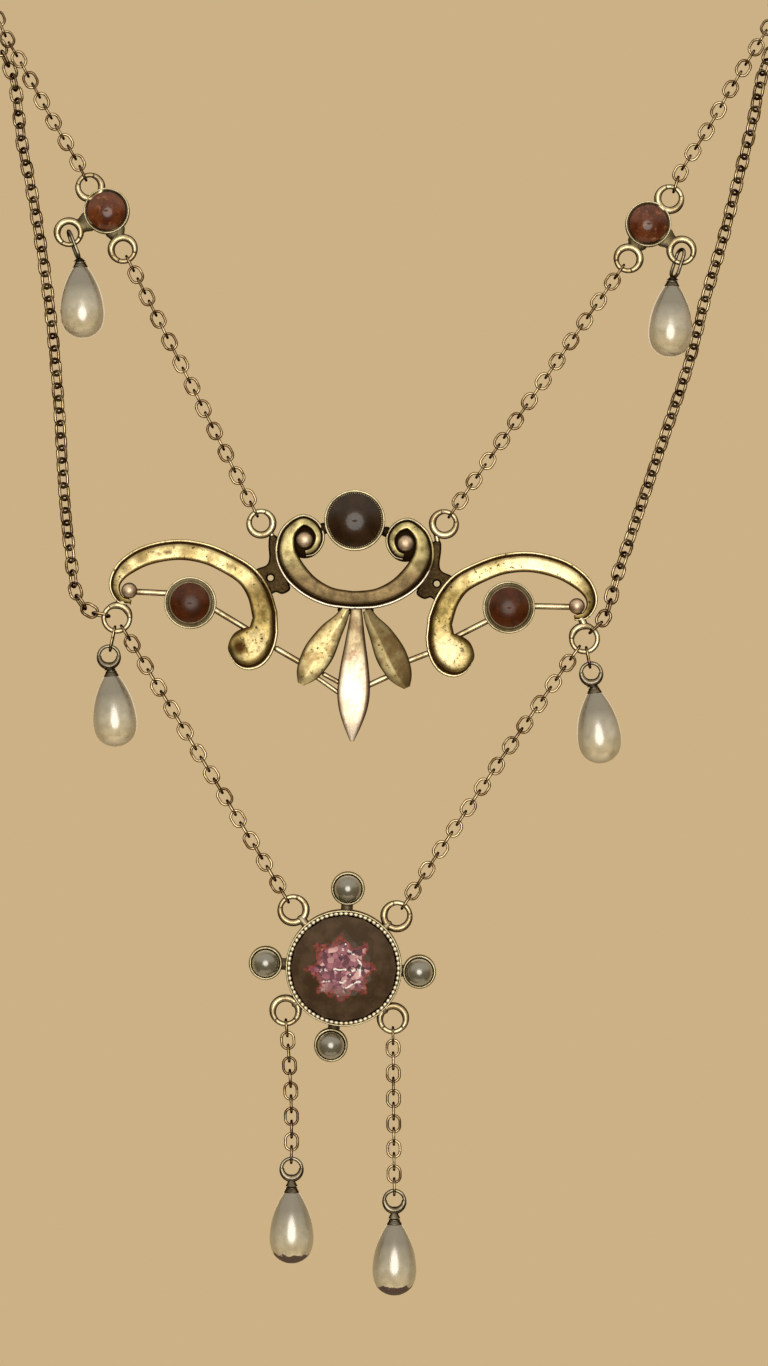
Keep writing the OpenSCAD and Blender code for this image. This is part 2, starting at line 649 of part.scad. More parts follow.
// The back chain is one Bezier curve of five points
curve_steps = 60;
module back_chain(i) {
    s = sides[i];
    to_front = [0, -front_depth, -join_drop];
    start = off_ring(to_front + in_front(join_at[i]), join_ring_d, to_front + join_hook(i, 2));
    end = [s * (clasp_end_x + clasp_ring_d / 2 + strand_gap), clasp_d / 2, 0];
    rise = start + [s * back_rise.x, back_rise.y, back_rise.z];
    swing = [s * back_swing.x, back_swing.y, back_swing.z];
    nape = [s * back_nape_x, end.y, 0];
    curve = [
        for (k = [0:curve_steps]) let (t = k / curve_steps, u = 1 - t)
            pow(u, 4) * start + 4 * t * pow(u, 3) * rise + 6 * t * t * u * u * swing
                + 4 * pow(t, 3) * u * nape + pow(t, 4) * end
    ];
    color(chain_gold) tube(divided(curve, back_rings - 1), strand_d, back_turned_to);
}

// One plain barrel with a ring at each end
module clasp() color(bright_gold) translate([0, clasp_d / 2, 0]) {
    rotate([0, 90, 0]) cylinder(h = clasp_l, d = clasp_d, center = true, $fn = round_fn);
    for (s = sides) translate([s * clasp_end_x, 0, 0]) ring(clasp_ring_r, clasp_wire);
}

plaque_frame();
plaque_stone_top();
plaque_stone(left);  // plaque_stone_left
plaque_stone(right);  // plaque_stone_right
connector(left);  // connector_left
connector(right);  // connector_right
connector_stone(left);  // connector_stone_left
connector_stone(right);  // connector_stone_right
pendant_frame();
pendant_stone();
pendant_pearl(0);  // pendant_pearl_top
pendant_pearl(1);  // pendant_pearl_left
pendant_pearl(2);  // pendant_pearl_right
pendant_pearl(3);  // pendant_pearl_bottom
shoulder_pearl(left);  // pearl_shoulder_left
shoulder_pearl(right);  // pearl_shoulder_right
wing_pearl(left);  // pearl_wing_left
wing_pearl(right);  // pearl_wing_right
drop_pearl(left);  // pearl_drop_left
drop_pearl(right);  // pearl_drop_right
shoulder_cap(left);  // cap_shoulder_left
shoulder_cap(right);  // cap_shoulder_right
wing_cap(left);  // cap_wing_left
wing_cap(right);  // cap_wing_right
drop_cap(left);  // cap_drop_left
drop_cap(right);  // cap_drop_right
wing_link(left);  // link_wing_left
wing_link(right);  // link_wing_right
upper_chain(left);  // chain_upper_left
upper_chain(right);  // chain_upper_right
lower_chain(left);  // chain_lower_left
lower_chain(right);  // chain_lower_right
v_chain(left);  // chain_v_left
v_chain(right);  // chain_v_right
drop_chain(left);  // chain_drop_left
drop_chain(right);  // chain_drop_right
outer_strand(left);  // strand_outer_left
outer_strand(right);  // strand_outer_right
join_ring(left);  // join_ring_left
join_ring(right);  // join_ring_right
back_chain(left);  // back_chain_left
back_chain(right);  // back_chain_right
clasp();
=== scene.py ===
import bpy
import math
import numpy as np
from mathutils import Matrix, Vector
from mathutils.geometry import tessellate_polygon


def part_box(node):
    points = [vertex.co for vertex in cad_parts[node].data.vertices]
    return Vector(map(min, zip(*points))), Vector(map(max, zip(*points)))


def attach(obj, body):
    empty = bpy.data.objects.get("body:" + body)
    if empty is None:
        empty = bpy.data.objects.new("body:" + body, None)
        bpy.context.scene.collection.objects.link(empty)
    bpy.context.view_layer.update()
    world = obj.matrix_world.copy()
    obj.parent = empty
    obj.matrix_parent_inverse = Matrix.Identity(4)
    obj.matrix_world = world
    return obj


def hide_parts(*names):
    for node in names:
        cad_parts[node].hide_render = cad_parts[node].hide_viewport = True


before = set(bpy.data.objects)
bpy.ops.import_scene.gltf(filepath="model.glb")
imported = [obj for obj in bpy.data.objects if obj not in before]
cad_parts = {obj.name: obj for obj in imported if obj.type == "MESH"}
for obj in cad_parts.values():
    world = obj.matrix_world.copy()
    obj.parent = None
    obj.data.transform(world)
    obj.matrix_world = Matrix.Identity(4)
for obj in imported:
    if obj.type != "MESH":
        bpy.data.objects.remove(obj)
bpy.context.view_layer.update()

PER_METRE = 1000

# Sizes in millimetres. Places and outer diameters are those of the solids; the wires are a little heavier.
FRONT_DEPTH = 112
JOIN_DROP = 42
JOIN_AT = [(-36.9, 0.45), (36.9, -0.45)]
PLAQUE_AT = (-2.85, -55.2)
PLAQUE_TILT = math.radians(2)
PENDANT_AT = (-3.7, -89)
FINE_WIRE_D = 0.28
LINK_W = 1.38
HOOK_GAP = 0.11
LINK_PITCH = 1.15
RING_WIRE = 0.46
HEAVY_WIRE = 0.66
RING_D = 2.65
WING_RING_D = 2.85
JOIN_RING_D = 3.2
CLASP_L = 7
CLASP_D = 2.6
CLASP_RING_D = 2
SCROLL_RISE = 0.75
SCROLL_BACK = 0.45

# Places on the plaque: u to the right and w up from its middle
TOP_STONE_AT = (-0.1, 7.35)
TOP_BEZEL_D = 5.6
WING_STONE_AT = [(-14.95, -0.75), (14.35, -0.15)]
WING_BEZEL_D = 4.8
CHAIN_RING_AT = [(-8.7, 6.8), (8.15, 7.35)]
WING_RING_AT = [(-21.65, -2.4), (21.4, -2.8)]
WEB_HOLE_AT = (7.65, 1.8)
SOLDER_OUTLINE = [
    (7.15, 5.6), (7.85, 5.7), (7.95, 4.8), (7.85, 3.6), (8.1, 2.95), (9.1, 2.45), (8.8, 1.4), (7.85, 0.9),
    (7.6, 0.3), (7.1, 0.5), (6.5, 0.35), (5.8, 0.85), (6.2, 1.9), (6.9, 3.2), (7.1, 4.4),
]
VOLUTE_BOSS_AT = (4.65, 5.4)
WING_BOSS_AT = (20.58, 0.18)
VOLUTE_BOSS_R = 0.8
WING_BOSS_R = 0.74
LEAF_SHIFT = 0.35

# rows of u, w, width and share of the rise
CRESCENT = [
    (0.6, 0.05, 1.7, 1), (2.3, 0.3, 1.8, 1), (4, 1.1, 2, 1), (5.35, 2.3, 2.2, 1), (6.2, 3.7, 2.1, 1),
    (6.4, 5.05, 1.75, 1), (6.05, 6.25, 1.4, 0.95), (4.95, 7.2, 1.1, 0.9), (3.9, 6.9, 1, 0.85),
    (3.3, 6.05, 0.9, 0.8), (3.3, 5.2, 0.85, 0.75), (3.8, 4.4, 0.75, 0.7), (4.5, 4.15, 0.6, 0.6),
]
WING = [
    (20.4, -0.9, 0.5, 0.5), (21.4, -0.65, 0.7, 0.6), (21.95, 0.35, 0.95, 0.7), (21.75, 1.4, 1.25, 0.85),
    (20.8, 2.5, 1.65, 1), (18.95, 3.55, 1.85, 1), (16.3, 4.1, 1.9, 1), (13.8, 3.85, 1.9, 1),
    (11.7, 3.05, 1.95, 1), (9.8, 1.9, 2.05, 1), (8.65, 0.3, 2.2, 1), (8.05, -1.6, 2.35, 1),
]
# the wide end of a wing as rows of outer point, inner point and share of the rise
WING_END = [
    (6.78, -3.2, 9.4, -2.75, 1), (6.98, -4.4, 9.6, -2.8, 1), (7.5, -5.6, 9.95, -2.9, 1),
    (8.35, -6.45, 10.4, -3.1, 1), (9.5, -6.75, 10.85, -3.45, 0.95), (10.5, -6.35, 11.15, -3.95, 0.85),
    (11.1, -5.5, 11.32, -4.5, 0.6), (11.3, -5, 11.34, -4.85, 0.35),
]
SIDE_LEAF = [
    (0.95, -0.85, 0.8, 0.7), (1.5, -1.9, 1.4, 0.9), (2.35, -3.15, 2.2, 1), (3.25, -4.8, 2.8, 1),
    (4, -6.2, 2.5, 1), (4.5, -7.1, 1.8, 0.85), (4.9, -7.85, 0.6, 0.45),
]
MIDDLE_LEAF = [
    (0, -0.8, 1, 0.8), (0, -3.7, 1.85, 1), (0, -6, 2.6, 1), (0, -8.1, 3, 1),
    (0, -9.7, 2.75, 1), (0, -11.3, 1.8, 0.9), (0, -12.95, 0.35, 0.4),
]

CONNECTOR_AT = [(-25.5, -19.4), (24.3, -20.6)]
CONNECTOR_BEZEL_D = 4.2
# rings as angle and distance from the stone, and the angle at which each of them is hooked
CONNECTOR_RINGS = [[(125, 2.7), (210, 4), (-67, 3.85)], [(50, 3.05), (-39, 3.95), (-120, 3.7)]]
CONNECTOR_HOOKS = [(120, -75, -63), (58, -75, -124)]

PENDANT_R = 5.35
PENDANT_RINGS = [(131, 7.1), (44.5, 6.85), (-143.5, 6.65), (-46, 6.5)]
PENDANT_HOOKS = (121, 56, -90, -90)
PENDANT_CUPS = [(87, 7.3), (176.5, 7.2), (-3, 6.95), (-99.5, 7.2)]
PENDANT_RING_D = 2.85
CUP_R = 1.55
SEAT_R = 1.29
SEED_R = 1.25
RIM_R = 5.03
RIM_FRONT = 0.75
RIM_BEADS = 70
STONE_R = 4.85

# a pear pearl's outline from the top down, as shares of its height and of its width
PEAR = [
    (0, 0.12), (0.02, 0.2), (0.06, 0.3), (0.16, 0.52), (0.3, 0.75), (0.44, 0.9), (0.57, 0.975),
    (0.68, 1), (0.79, 0.95), (0.88, 0.82), (0.95, 0.58), (0.99, 0.3), (1, 0.12),
]
PEARL_W = 4.05
PEARL_H = 7
# degrees that the left and the right pearl lean
PEARL_LEAN = {"shoulder": (2.5, -2), "wing": (4.5, 6), "drop": (0, 0)}
NECK_H = {"shoulder": 0.2, "wing": 0.35, "drop": 0.5}
NECK_WIRE = 0.13
CAP_RING_D = 2.2
CAP_WIRE = 0.4
CAP_HEAVY_WIRE = 0.72

# the way of each outer strand from wing ring to join ring, as x, depth and z
OUTER_ROUTE = [
    [
        (-27.1, 0.1, -56.2), (-28.3, 0.2, -54.7), (-28.8, 0.3, -51.5), (-29.4, 0.5, -46), (-30, 1, -36.8),
        (-30.9, 1.3, -27.6), (-32.3, 1.1, -18.4), (-33.4, 1.1, -12.9), (-34.1, 1.1, -7.4),
        (-35.8, 0.9, -3.4),
    ],
    [
        (20.4, 0.1, -56.6), (21.3, 0.2, -53.4), (23.2, 0.4, -47.8), (25.7, 0.9, -40.5), (28.2, 1.6, -33.1),
        (29.6, 1.7, -27.6), (31.2, 1.3, -22.1), (32.6, 1.1, -16.6), (34, 1.1, -11), (34.9, 1.1, -6.6),
        (36.2, 0.9, -3.3),
    ],
]
# degrees at which an outer strand and a back chain hook into the right join ring
OUTER_HOOK = -86
BACK_HOOK = 70
# the outer strands are twisted by this along their run
OUTER_TWIST = math.radians(42)

# The directions and sides that repeat
FACING = (0, -1, 0)
UP = (0, 0, 1)
FLAT = ((1, 0, 0), (0, 0, 1), FACING)
SIDES = ((0, -1, "left"), (1, 1, "right"))
KINDS = ("shoulder", "wing", "drop")


# Places and curves
def in_front(p, depth=0.0):
    """A place of the front plane given as x and z, or one with its own depth, from the nape."""
    if len(p) == 3:
        return np.array([p[0], p[1] - FRONT_DEPTH, p[2] - JOIN_DROP], float)
    return np.array([p[0], depth - FRONT_DEPTH, p[1] - JOIN_DROP], float)


def on_plaque(u, w, depth=0.0):
    """A place given on the plaque, which hangs a little aslant."""
    c, s = math.cos(PLAQUE_TILT), math.sin(PLAQUE_TILT)
    return in_front((PLAQUE_AT[0] + c * u + s * w, PLAQUE_AT[1] + c * w - s * u), depth)


def spline(rows, steps):
    """A smooth run through rows of numbers, with steps from each row to the next."""
    rows = np.array(rows, float)
    last = len(rows) - 1
    out = []
    for i in range(last):
        a, b, c, d = rows[max(i - 1, 0)], rows[i], rows[i + 1], rows[min(i + 2, last)]
        for k in range(steps):
            t = k / steps
            bend = (2 * a - 5 * b + 4 * c - d) * t * t + (3 * b - a - 3 * c + d) * t ** 3
            out.append(0.5 * (2 * b + (c - a) * t + bend))
    out.append(rows[last])
    return np.array(out)


def unit(v):
    return v / np.linalg.norm(v)


def turned(t, a, b):
    """The direction at an angle from one direction towards another."""
    return math.cos(t) * a + math.sin(t) * b


def angles(count):
    """Even steps once round."""
    return [2 * math.pi * k / count for k in range(count)]


def polar(angle, r):
    """A step in the front plane, from its angle in degrees."""
    return np.array([math.cos(math.radians(angle)), 0, math.sin(math.radians(angle))]) * r


def ring_axes(angle):
    """Three directions at an angle of a ring: along it, out from it and to the front."""
    return polar(angle + 90, 1), polar(angle, 1), FACING


def middle_of(name):
    """The middle of a node's box, in millimetres."""
    low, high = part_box(name)
    return np.array([(low[k] + high[k]) / 2 for k in range(3)]) * PER_METRE


def evenly(path, count):
    """count + 1 points that divide a path into even lengths, and its length."""
    run = np.concatenate([[0], np.cumsum(np.linalg.norm(np.diff(path, axis=0), axis=1))])
    at = np.linspace(0, run[-1], count + 1)
    return np.stack([np.interp(at, run, path[:, k]) for k in range(3)], 1), run[-1]


def in_scene(name, data):
    obj = bpy.data.objects.new(name, data)
    bpy.context.scene.collection.objects.link(obj)
    return obj


# Meshes
class Build:
    """Collects points in millimetres, faces, and each point's tone: tarnish and painted shade, negative for
    a painted highlight.
    """

    def __init__(self):
        self.points = []
        self.faces = []
        self.tone = []

    def add(self, points, faces, tone=0.0):
        base = len(self.points)
        points = [tuple(p) for p in points]
        self.points += points
        self.faces += [tuple(base + i for i in f) for f in faces]
        self.tone += list(tone) if hasattr(tone, "__len__") else [tone] * len(points)

    def shade_and_tarnish(self, place, reach, amount):
        """Darkens the points near a place: tarnish and painted shade."""
        for n, p in enumerate(self.points):
            gap = math.dist(p, place) / reach
            if gap < 1:
                self.tone[n] = max(self.tone[n], amount * min(1, 2 - 2 * gap))

    def paint_highlight(self, place, reach, amount):
        """Paints the clean points near a place brighter: a painted highlight."""
        for n, p in enumerate(self.points):
            if self.tone[n] < 0.05:
                gap = math.dist(p, place) / reach
                self.tone[n] = min(self.tone[n], -amount * min(1, max(0, 1.5 - 1.5 * gap)))

    def piece(self, name, material, replaces=()):
        """Makes a smooth object of it all."""
        mesh = bpy.data.meshes.new(name)
        points = [(x / PER_METRE, y / PER_METRE, z / PER_METRE) for x, y, z in self.points]
        mesh.from_pydata(points, [], self.faces)
        mesh.validate()
        mesh.polygons.foreach_set("use_smooth", [True] * len(mesh.polygons))
        tone = mesh.attributes.new("tone", "FLOAT", "POINT")
        tone.data.foreach_set("value", [float(t) for t in self.tone])
        mesh.materials.append(material)
        mesh.update()
        obj = in_scene(name, mesh)
        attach(obj, "root")
        if replaces:
            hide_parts(*replaces)
        return obj


def grid_faces(rings, count, flip=False):
    """Faces between closed rings of points."""
    faces = []
    for i in range(rings - 1):
        for k in range(count):
            a, b = i * count + k, i * count + (k + 1) % count
            f = (a, b, b + count, a + count)
            faces.append(f[::-1] if flip else f)
    return faces


def skin(rings, count, flip=False):
    """Faces between closed rings of points, with one over each end."""
    first, last = tuple(range(count)), tuple((rings - 1) * count + k for k in range(count))
    return grid_faces(rings, count, flip) + ([first, last[::-1]] if flip else [first[::-1], last])


def loop_faces(around, section):
    """Faces of a tube that runs back into itself."""
    faces = []
    for i in range(around):
        j = (i + 1) % around
        for k in range(section):
            m = (k + 1) % section
            faces.append((i * section + k, j * section + k, j * section + m, i * section + m))
    return faces


def revolve(build, centre, axis, start, profile, count, tone):
    """Turns a profile of (radius, height) about an axis; start is the direction of the first point."""
    axis, start = unit(np.array(axis, float)), np.array(start, float)
    start = unit(start - axis * start.dot(axis))
    side = np.cross(axis, start)
    tones = tone if hasattr(tone, "__len__") else [tone] * len(profile)
    centre = np.array(centre)
    points = [centre + axis * h + r * turned(t, start, side) for r, h in profile for t in angles(count)]
    build.add(points, skin(len(profile), count), [t for t in tones for _ in range(count)])


def torus(build, centre, axis, radius, wire, around=48, section=12, tone=0.0):
    axis = unit(np.array(axis, float))
    start = unit(np.cross(axis, [0.3, 0.2, 1]))
    side = np.cross(axis, start)
    r = wire / 2
    points = []
    for t in angles(around):
        out = turned(t, start, side)
        for a in angles(section):
            points.append(np.array(centre) + out * (radius + r * math.cos(a)) + axis * r * math.sin(a))
    build.add(points, loop_faces(around, section), tone)


def blob(build, centre, radii, axes, around=16, rows=8, tone=0.0):
    """An ellipsoid with its own three axes."""
    centre = np.array(centre)
    x, y, z = [np.array(axis, float) * r for axis, r in zip(axes, radii)]
    points = [centre - z]
    for i in range(1, rows):
        p = math.pi * i / rows
        points += [centre + turned(t, x, y) * math.sin(p) - z * math.cos(p) for t in angles(around)]
    points.append(centre + z)
    top = len(points) - 1
    base = top - around
    faces = [(0, 1 + (k + 1) % around, 1 + k) for k in range(around)]
    faces += [tuple(1 + i for i in f) for f in grid_faces(rows - 1, around)]
    faces += [(base + k, base + (k + 1) % around, top) for k in range(around)]
    if np.cross(x, y).dot(z) < 0:
        faces = [f[::-1] for f in faces]
    build.add(points, faces, tone)


def rod(build, a, b, d, tone=0.0):
    """A round wire with rounded ends between two points."""
    a, b = np.array(a, float), np.array(b, float)
    along = unit(b - a)
    length = np.linalg.norm(b - a)
    r = d / 2
    end = [(r * math.sin(t), -r * math.cos(t)) for t in np.linspace(0.12, math.pi / 2, 5)]
    profile = end + [(r, length * t) for t in (0.33, 0.66)] + [(q, length - h) for q, h in end[::-1]]
    revolve(build, a, along, np.cross(along, [0.1, 1, 0.05]), profile, 14, tone)


def edges_of(rows, steps):
    """Outer and inner edge points and the share of the rise, along a ribbon given by its middle line."""
    path = spline(rows, steps)
    ahead = np.gradient(path[:, :2], axis=0)
    ahead /= np.linalg.norm(ahead, axis=1)[:, None]
    across = np.stack([-ahead[:, 1], ahead[:, 0]], 1) * path[:, 2:3] / 2
    return np.concatenate([path[:, :2] - across, path[:, :2] + across, path[:, 3:4]], 1)


# share of the way over the face from outer to inner edge, share of the rise, tarnish with painted shade at
# the edges
FACE = [
    (0, 0.1, 1), (0.02, 0.45, 0.9), (0.05, 0.68, 0.45), (0.1, 0.79, 0.1), (0.2, 0.85, 0), (0.34, 0.89, 0),
    (0.5, 0.93, 0), (0.66, 0.965, 0), (0.78, 0.985, 0), (0.86, 0.975, 0.05), (0.91, 0.91, 0.3),
    (0.95, 0.76, 0.75), (0.98, 0.5, 1), (1, 0.2, 1),
]
# distance in from the outer edge, height, and tarnish with painted shade, negative for a painted highlight:
# the wall and the fine lip along it
LIP = [
    (0, -0.3, 1), (0, 0.18, 0.8), (0.03, 0.3, -0.8), (0.09, 0.36, -1), (0.19, 0.36, -1), (0.25, 0.3, -0.8),
    (0.28, 0.12, 1), (0.38, 0.03, 1),
]
LIP_W = 0.38
# a scroll narrower than this has its lip narrowed too
LIP_FROM = 1.1


def ribbon(build, sections, mirror):
    """A solid through cross sections, which are rows of place and tarnish."""
    points = [p for section in sections for p, _ in section]
    tones = [t for section in sections for _, t in section]
    build.add(points, skin(len(sections), len(sections[0]), mirror > 0), tones)


def scroll(build, edges, mirror=1):
    """A scroll of the plaque: a flat back, a lip along its outer edge with a painted highlight that is
    strongest low down, and a rounded face.
    """
    sections = []
    for ou, ow, iu, iw, share in edges:
        outer, inner = np.array([ou, ow]), np.array([iu, iw])
        width = np.linalg.norm(inner - outer)
        over = (inner - outer) / width
        k = min(1.0, width / LIP_FROM)
        start = LIP_W * k
        # the lip's painted highlight is strongest low on the plaque
        lip_highlight = min(1, max(0.3, (5 - ow) / 3.5))
        rows = [(0, -SCROLL_BACK, 1)] + [(d * k, h, t if t > 0 else t * lip_highlight) for d, h, t in LIP]
        rows += [(start + (width - start) * s, SCROLL_RISE * share * h, t) for s, h, t in FACE]
        rows += [(width * d, -SCROLL_BACK, t) for d, t in ((1, 1), (0.85, 0.3), (0.15, 0.3))]
        places = [(outer + over * d, h, t) for d, h, t in rows]
        sections.append([(on_plaque(mirror * q[0], q[1], -h), t) for q, h, t in places])
    ribbon(build, sections, mirror)


# share of the way from the middle to the edge, share of the rise, tarnish with painted shade at the edges
LEAF_FACE = [
    (-1, -0.35, 1), (-1, 0.3, 1), (-0.96, 0.5, 1), (-0.88, 0.62, 0.6), (-0.78, 0.69, 0), (-0.5, 0.79, 0),
    (-0.12, 0.92, 0), (0, 0.94, 0), (0.12, 0.92, 0), (0.5, 0.79, 0), (0.78, 0.69, 0), (0.88, 0.62, 0.6),
    (0.96, 0.5, 1), (1, 0.3, 1), (1, -0.35, 1), (0.8, -0.35, 0.3), (-0.8, -0.35, 0.3),
]
LEAF_SHOULDER = 0.68


def leaf(build, rows, rise, mirror, ridge, dull=(0.0, 0.0), slope=1.0):
    """A leaf of two facets that meet in a soft ridge; dull is the painted shade of its outer and inner
    facet.
    """
    sections = []
    for ou, ow, iu, iw, share in edges_of(rows, 12):
        a, b = np.array([ou, ow]), np.array([iu, iw])
        section = []
        for x, y, t in LEAF_FACE:
            if y > 0:
                t = max(t, dull[0 if x < 0 else 1])
                x = x + ridge * (1 - x * x)
            q = (a + b) / 2 + (b - a) / 2 * x
            if y > LEAF_SHOULDER:
                y = LEAF_SHOULDER + slope * (y - LEAF_SHOULDER)
            h = rise * y * (share if y > 0 else 1)
            section.append((on_plaque(mirror * q[0] + LEAF_SHIFT, q[1], -h), t))
        sections.append(section)
    ribbon(build, sections, mirror)


def link(build, a, b, normal):
    """One oval link hooked between two points; normal is square to its plane."""
    around, section = 14, 8
    wire = FINE_WIRE_D
    a, b = np.array(a, float), np.array(b, float)
    along = unit(b - a)
    normal = unit(normal - along * np.dot(normal, along))
    side = np.cross(normal, along)
    bend = (LINK_W - wire) / 2
    half = (np.linalg.norm(b - a) + HOOK_GAP - LINK_W + 2 * wire) / 2
    middle = (a + b) / 2
    points = []
    for end in (1, -1):
        for k in range(around + 1):
            t = math.pi * (k / around - 0.5)
            c, s = end * math.cos(t), end * math.sin(t)
            out = along * c + side * s
            p = middle + along * (end * half + bend * c) + side * bend * s
            points += [p + wire / 2 * turned(t, out, normal) for t in angles(section)]
    build.add(points, loop_faces(2 * (around + 1), section))


def link_chain(build, path, first_normal, last_normal, turn=0.0):
    """Links hooked along a path, each a quarter turn from the last, with any twist spread over the run."""
    length = evenly(path, 1)[1]
    count = int(round(length / LINK_PITCH))
    count += 1 - count % 2
    joints, _ = evenly(path, count)
    normal = np.array(first_normal, float)
    frames = []
    for i in range(count):
        along = unit(joints[i + 1] - joints[i])
        normal = unit(normal - along * np.dot(normal, along))
        frames.append((along, normal))
    along, normal = frames[-1]
    want = unit(np.array(last_normal, float) - along * np.dot(last_normal, along))
    miss = math.atan2(np.dot(np.cross(normal, want), along), np.dot(normal, want))
    for i, (along, normal) in enumerate(frames):
        share = i / (count - 1)
        angle = miss * share + turn * min(1, 6 * min(share, 1 - share)) + (math.pi / 2 if i % 2 else 0)
        link(build, joints[i], joints[i + 1], turned(angle, normal, np.cross(along, normal)))


def heavy_arc(build, centre, ring_d, wire, toward, spread, thick, taper=1.0, tone=0.0):
    """A wire laid along a ring, thickest towards an angle and down to the ring's own wire at its ends."""
    steps, section = 24, 12
    points = []
    for i in range(steps + 1):
        share = 2 * i / steps - 1
        out = polar(toward + spread * share, 1)
        middle = centre + out * (ring_d - wire) / 2
        r = (wire + 0.02 + (thick - wire) * min(1, taper * (1 - abs(share)))) / 2
        points += [middle + r * turned(a, out, np.array(FACING)) for a in angles(section)]
    build.add(points, skin(steps + 1, section, True), tone)


def soldered_ring(build, centre, d, heavy, spread=135):
    """A ring of the front plane, with a heavier stretch about an angle."""
    torus(build, centre, FACING, (d - RING_WIRE) / 2, RING_WIRE)
    heavy_arc(build, centre, d, RING_WIRE, heavy, spread, HEAVY_WIRE, 2)


# Materials
class Tree:
    """The nodes of a material or world, with short ways to add to them."""

    def __init__(self, owner, shader="Principled BSDF"):
        owner.use_nodes = True
        self.nodes = owner.node_tree.nodes
        self.links = owner.node_tree.links
        self.shader = self.nodes[shader]

    def add(self, kind):
        return self.nodes.new("ShaderNode" + kind)

    def fill(self, socket, value):
        """Sets a socket to a number or colour, or links another one to it."""
        if isinstance(value, (int, float)):
            socket.default_value = value
        elif isinstance(value, tuple):
            socket.default_value = (*value, 1)
        else:
            self.links.new(value, socket)

    def surface(self, values):
        """Fills sockets of the shader by name."""
        for name, value in values.items():
            self.fill(self.shader.inputs[name], value)

    def millimetres(self):
        """Object coordinates in millimetres."""
        scale = self.add("VectorMath")
        scale.operation = "SCALE"
        scale.inputs["Scale"].default_value = PER_METRE
        self.fill(scale.inputs[0], self.add("TexCoord").outputs["Object"])
        return scale.outputs[0]

    def parts(self, vector):
        """The three parts of a vector."""
        split = self.add("SeparateXYZ")
        self.fill(split.inputs[0], vector)
        return split.outputs

    def noise(self, vector, scale, detail=3.0, rough=0.55):
        n = self.add("TexNoise")
        n.inputs["Scale"].default_value = scale
        n.inputs["Detail"].default_value = detail
        n.inputs["Roughness"].default_value = rough
        self.fill(n.inputs["Vector"], vector)
        return n.outputs["Fac"]

    def ramp(self, value, stops):
        """A colour that runs through rows of place and colour."""
        r = self.add("ValToRGB")
        places = r.color_ramp.elements
        while len(places) > 1:
            places.remove(places[-1])
        for k, (place, colour) in enumerate(stops):
            stop = places.new(place) if k else places[0]
            stop.position = place
            stop.color = (*colour, 1)
        self.fill(r.inputs["Fac"], value)
        return r.outputs["Color"]

    def remap(self, value, low, high, to_low=0.0, to_high=1.0, smooth=True):
        m = self.add("MapRange")
        m.interpolation_type = "SMOOTHSTEP" if smooth else "LINEAR"
        m.inputs["From Min"].default_value = low
        m.inputs["From Max"].default_value = high
        m.inputs["To Min"].default_value = to_low
        m.inputs["To Max"].default_value = to_high
        self.fill(m.inputs["Value"], value)
        return m.outputs["Result"]

    def maths(self, operation, a, b=None):
        m = self.add("Math")
        m.operation = operation
        for socket, value in zip(m.inputs, (a, b)):
            if value is not None:
                self.fill(socket, value)
        return m.outputs[0]

    def mix(self, share, a, b):
        m = self.add("Mix")
        m.data_type = "RGBA"
        for k, value in ((0, share), (6, a), (7, b)):
            self.fill(m.inputs[k], value)
        return m.outputs[2]

    def bump(self, height, distance, strength):
        """Fine relief; its distance is in metres."""
        b = self.add("Bump")
        b.inputs["Strength"].default_value = strength
        b.inputs["Distance"].default_value = distance
        self.fill(b.inputs["Height"], height)
        self.surface({"Normal": b.outputs["Normal"]})

    def tone(self):
        """A point's tone, as Build keeps it: tarnish and painted shade, negative for a painted highlight."""
        a = self.add("Attribute")
        a.attribute_name = "tone"
        return a.outputs["Fac"]

    def sideways(self):
        """How far a surface turns away from the front and the back of the hanging necklace."""
        depth = self.parts(self.add("NewGeometry").outputs["Normal"])[1]
        return self.maths("SUBTRACT", 1.0, self.maths("ABSOLUTE", depth))


def new_material(name):
    mat = bpy.data.materials.new(name)
    return mat, Tree(mat)


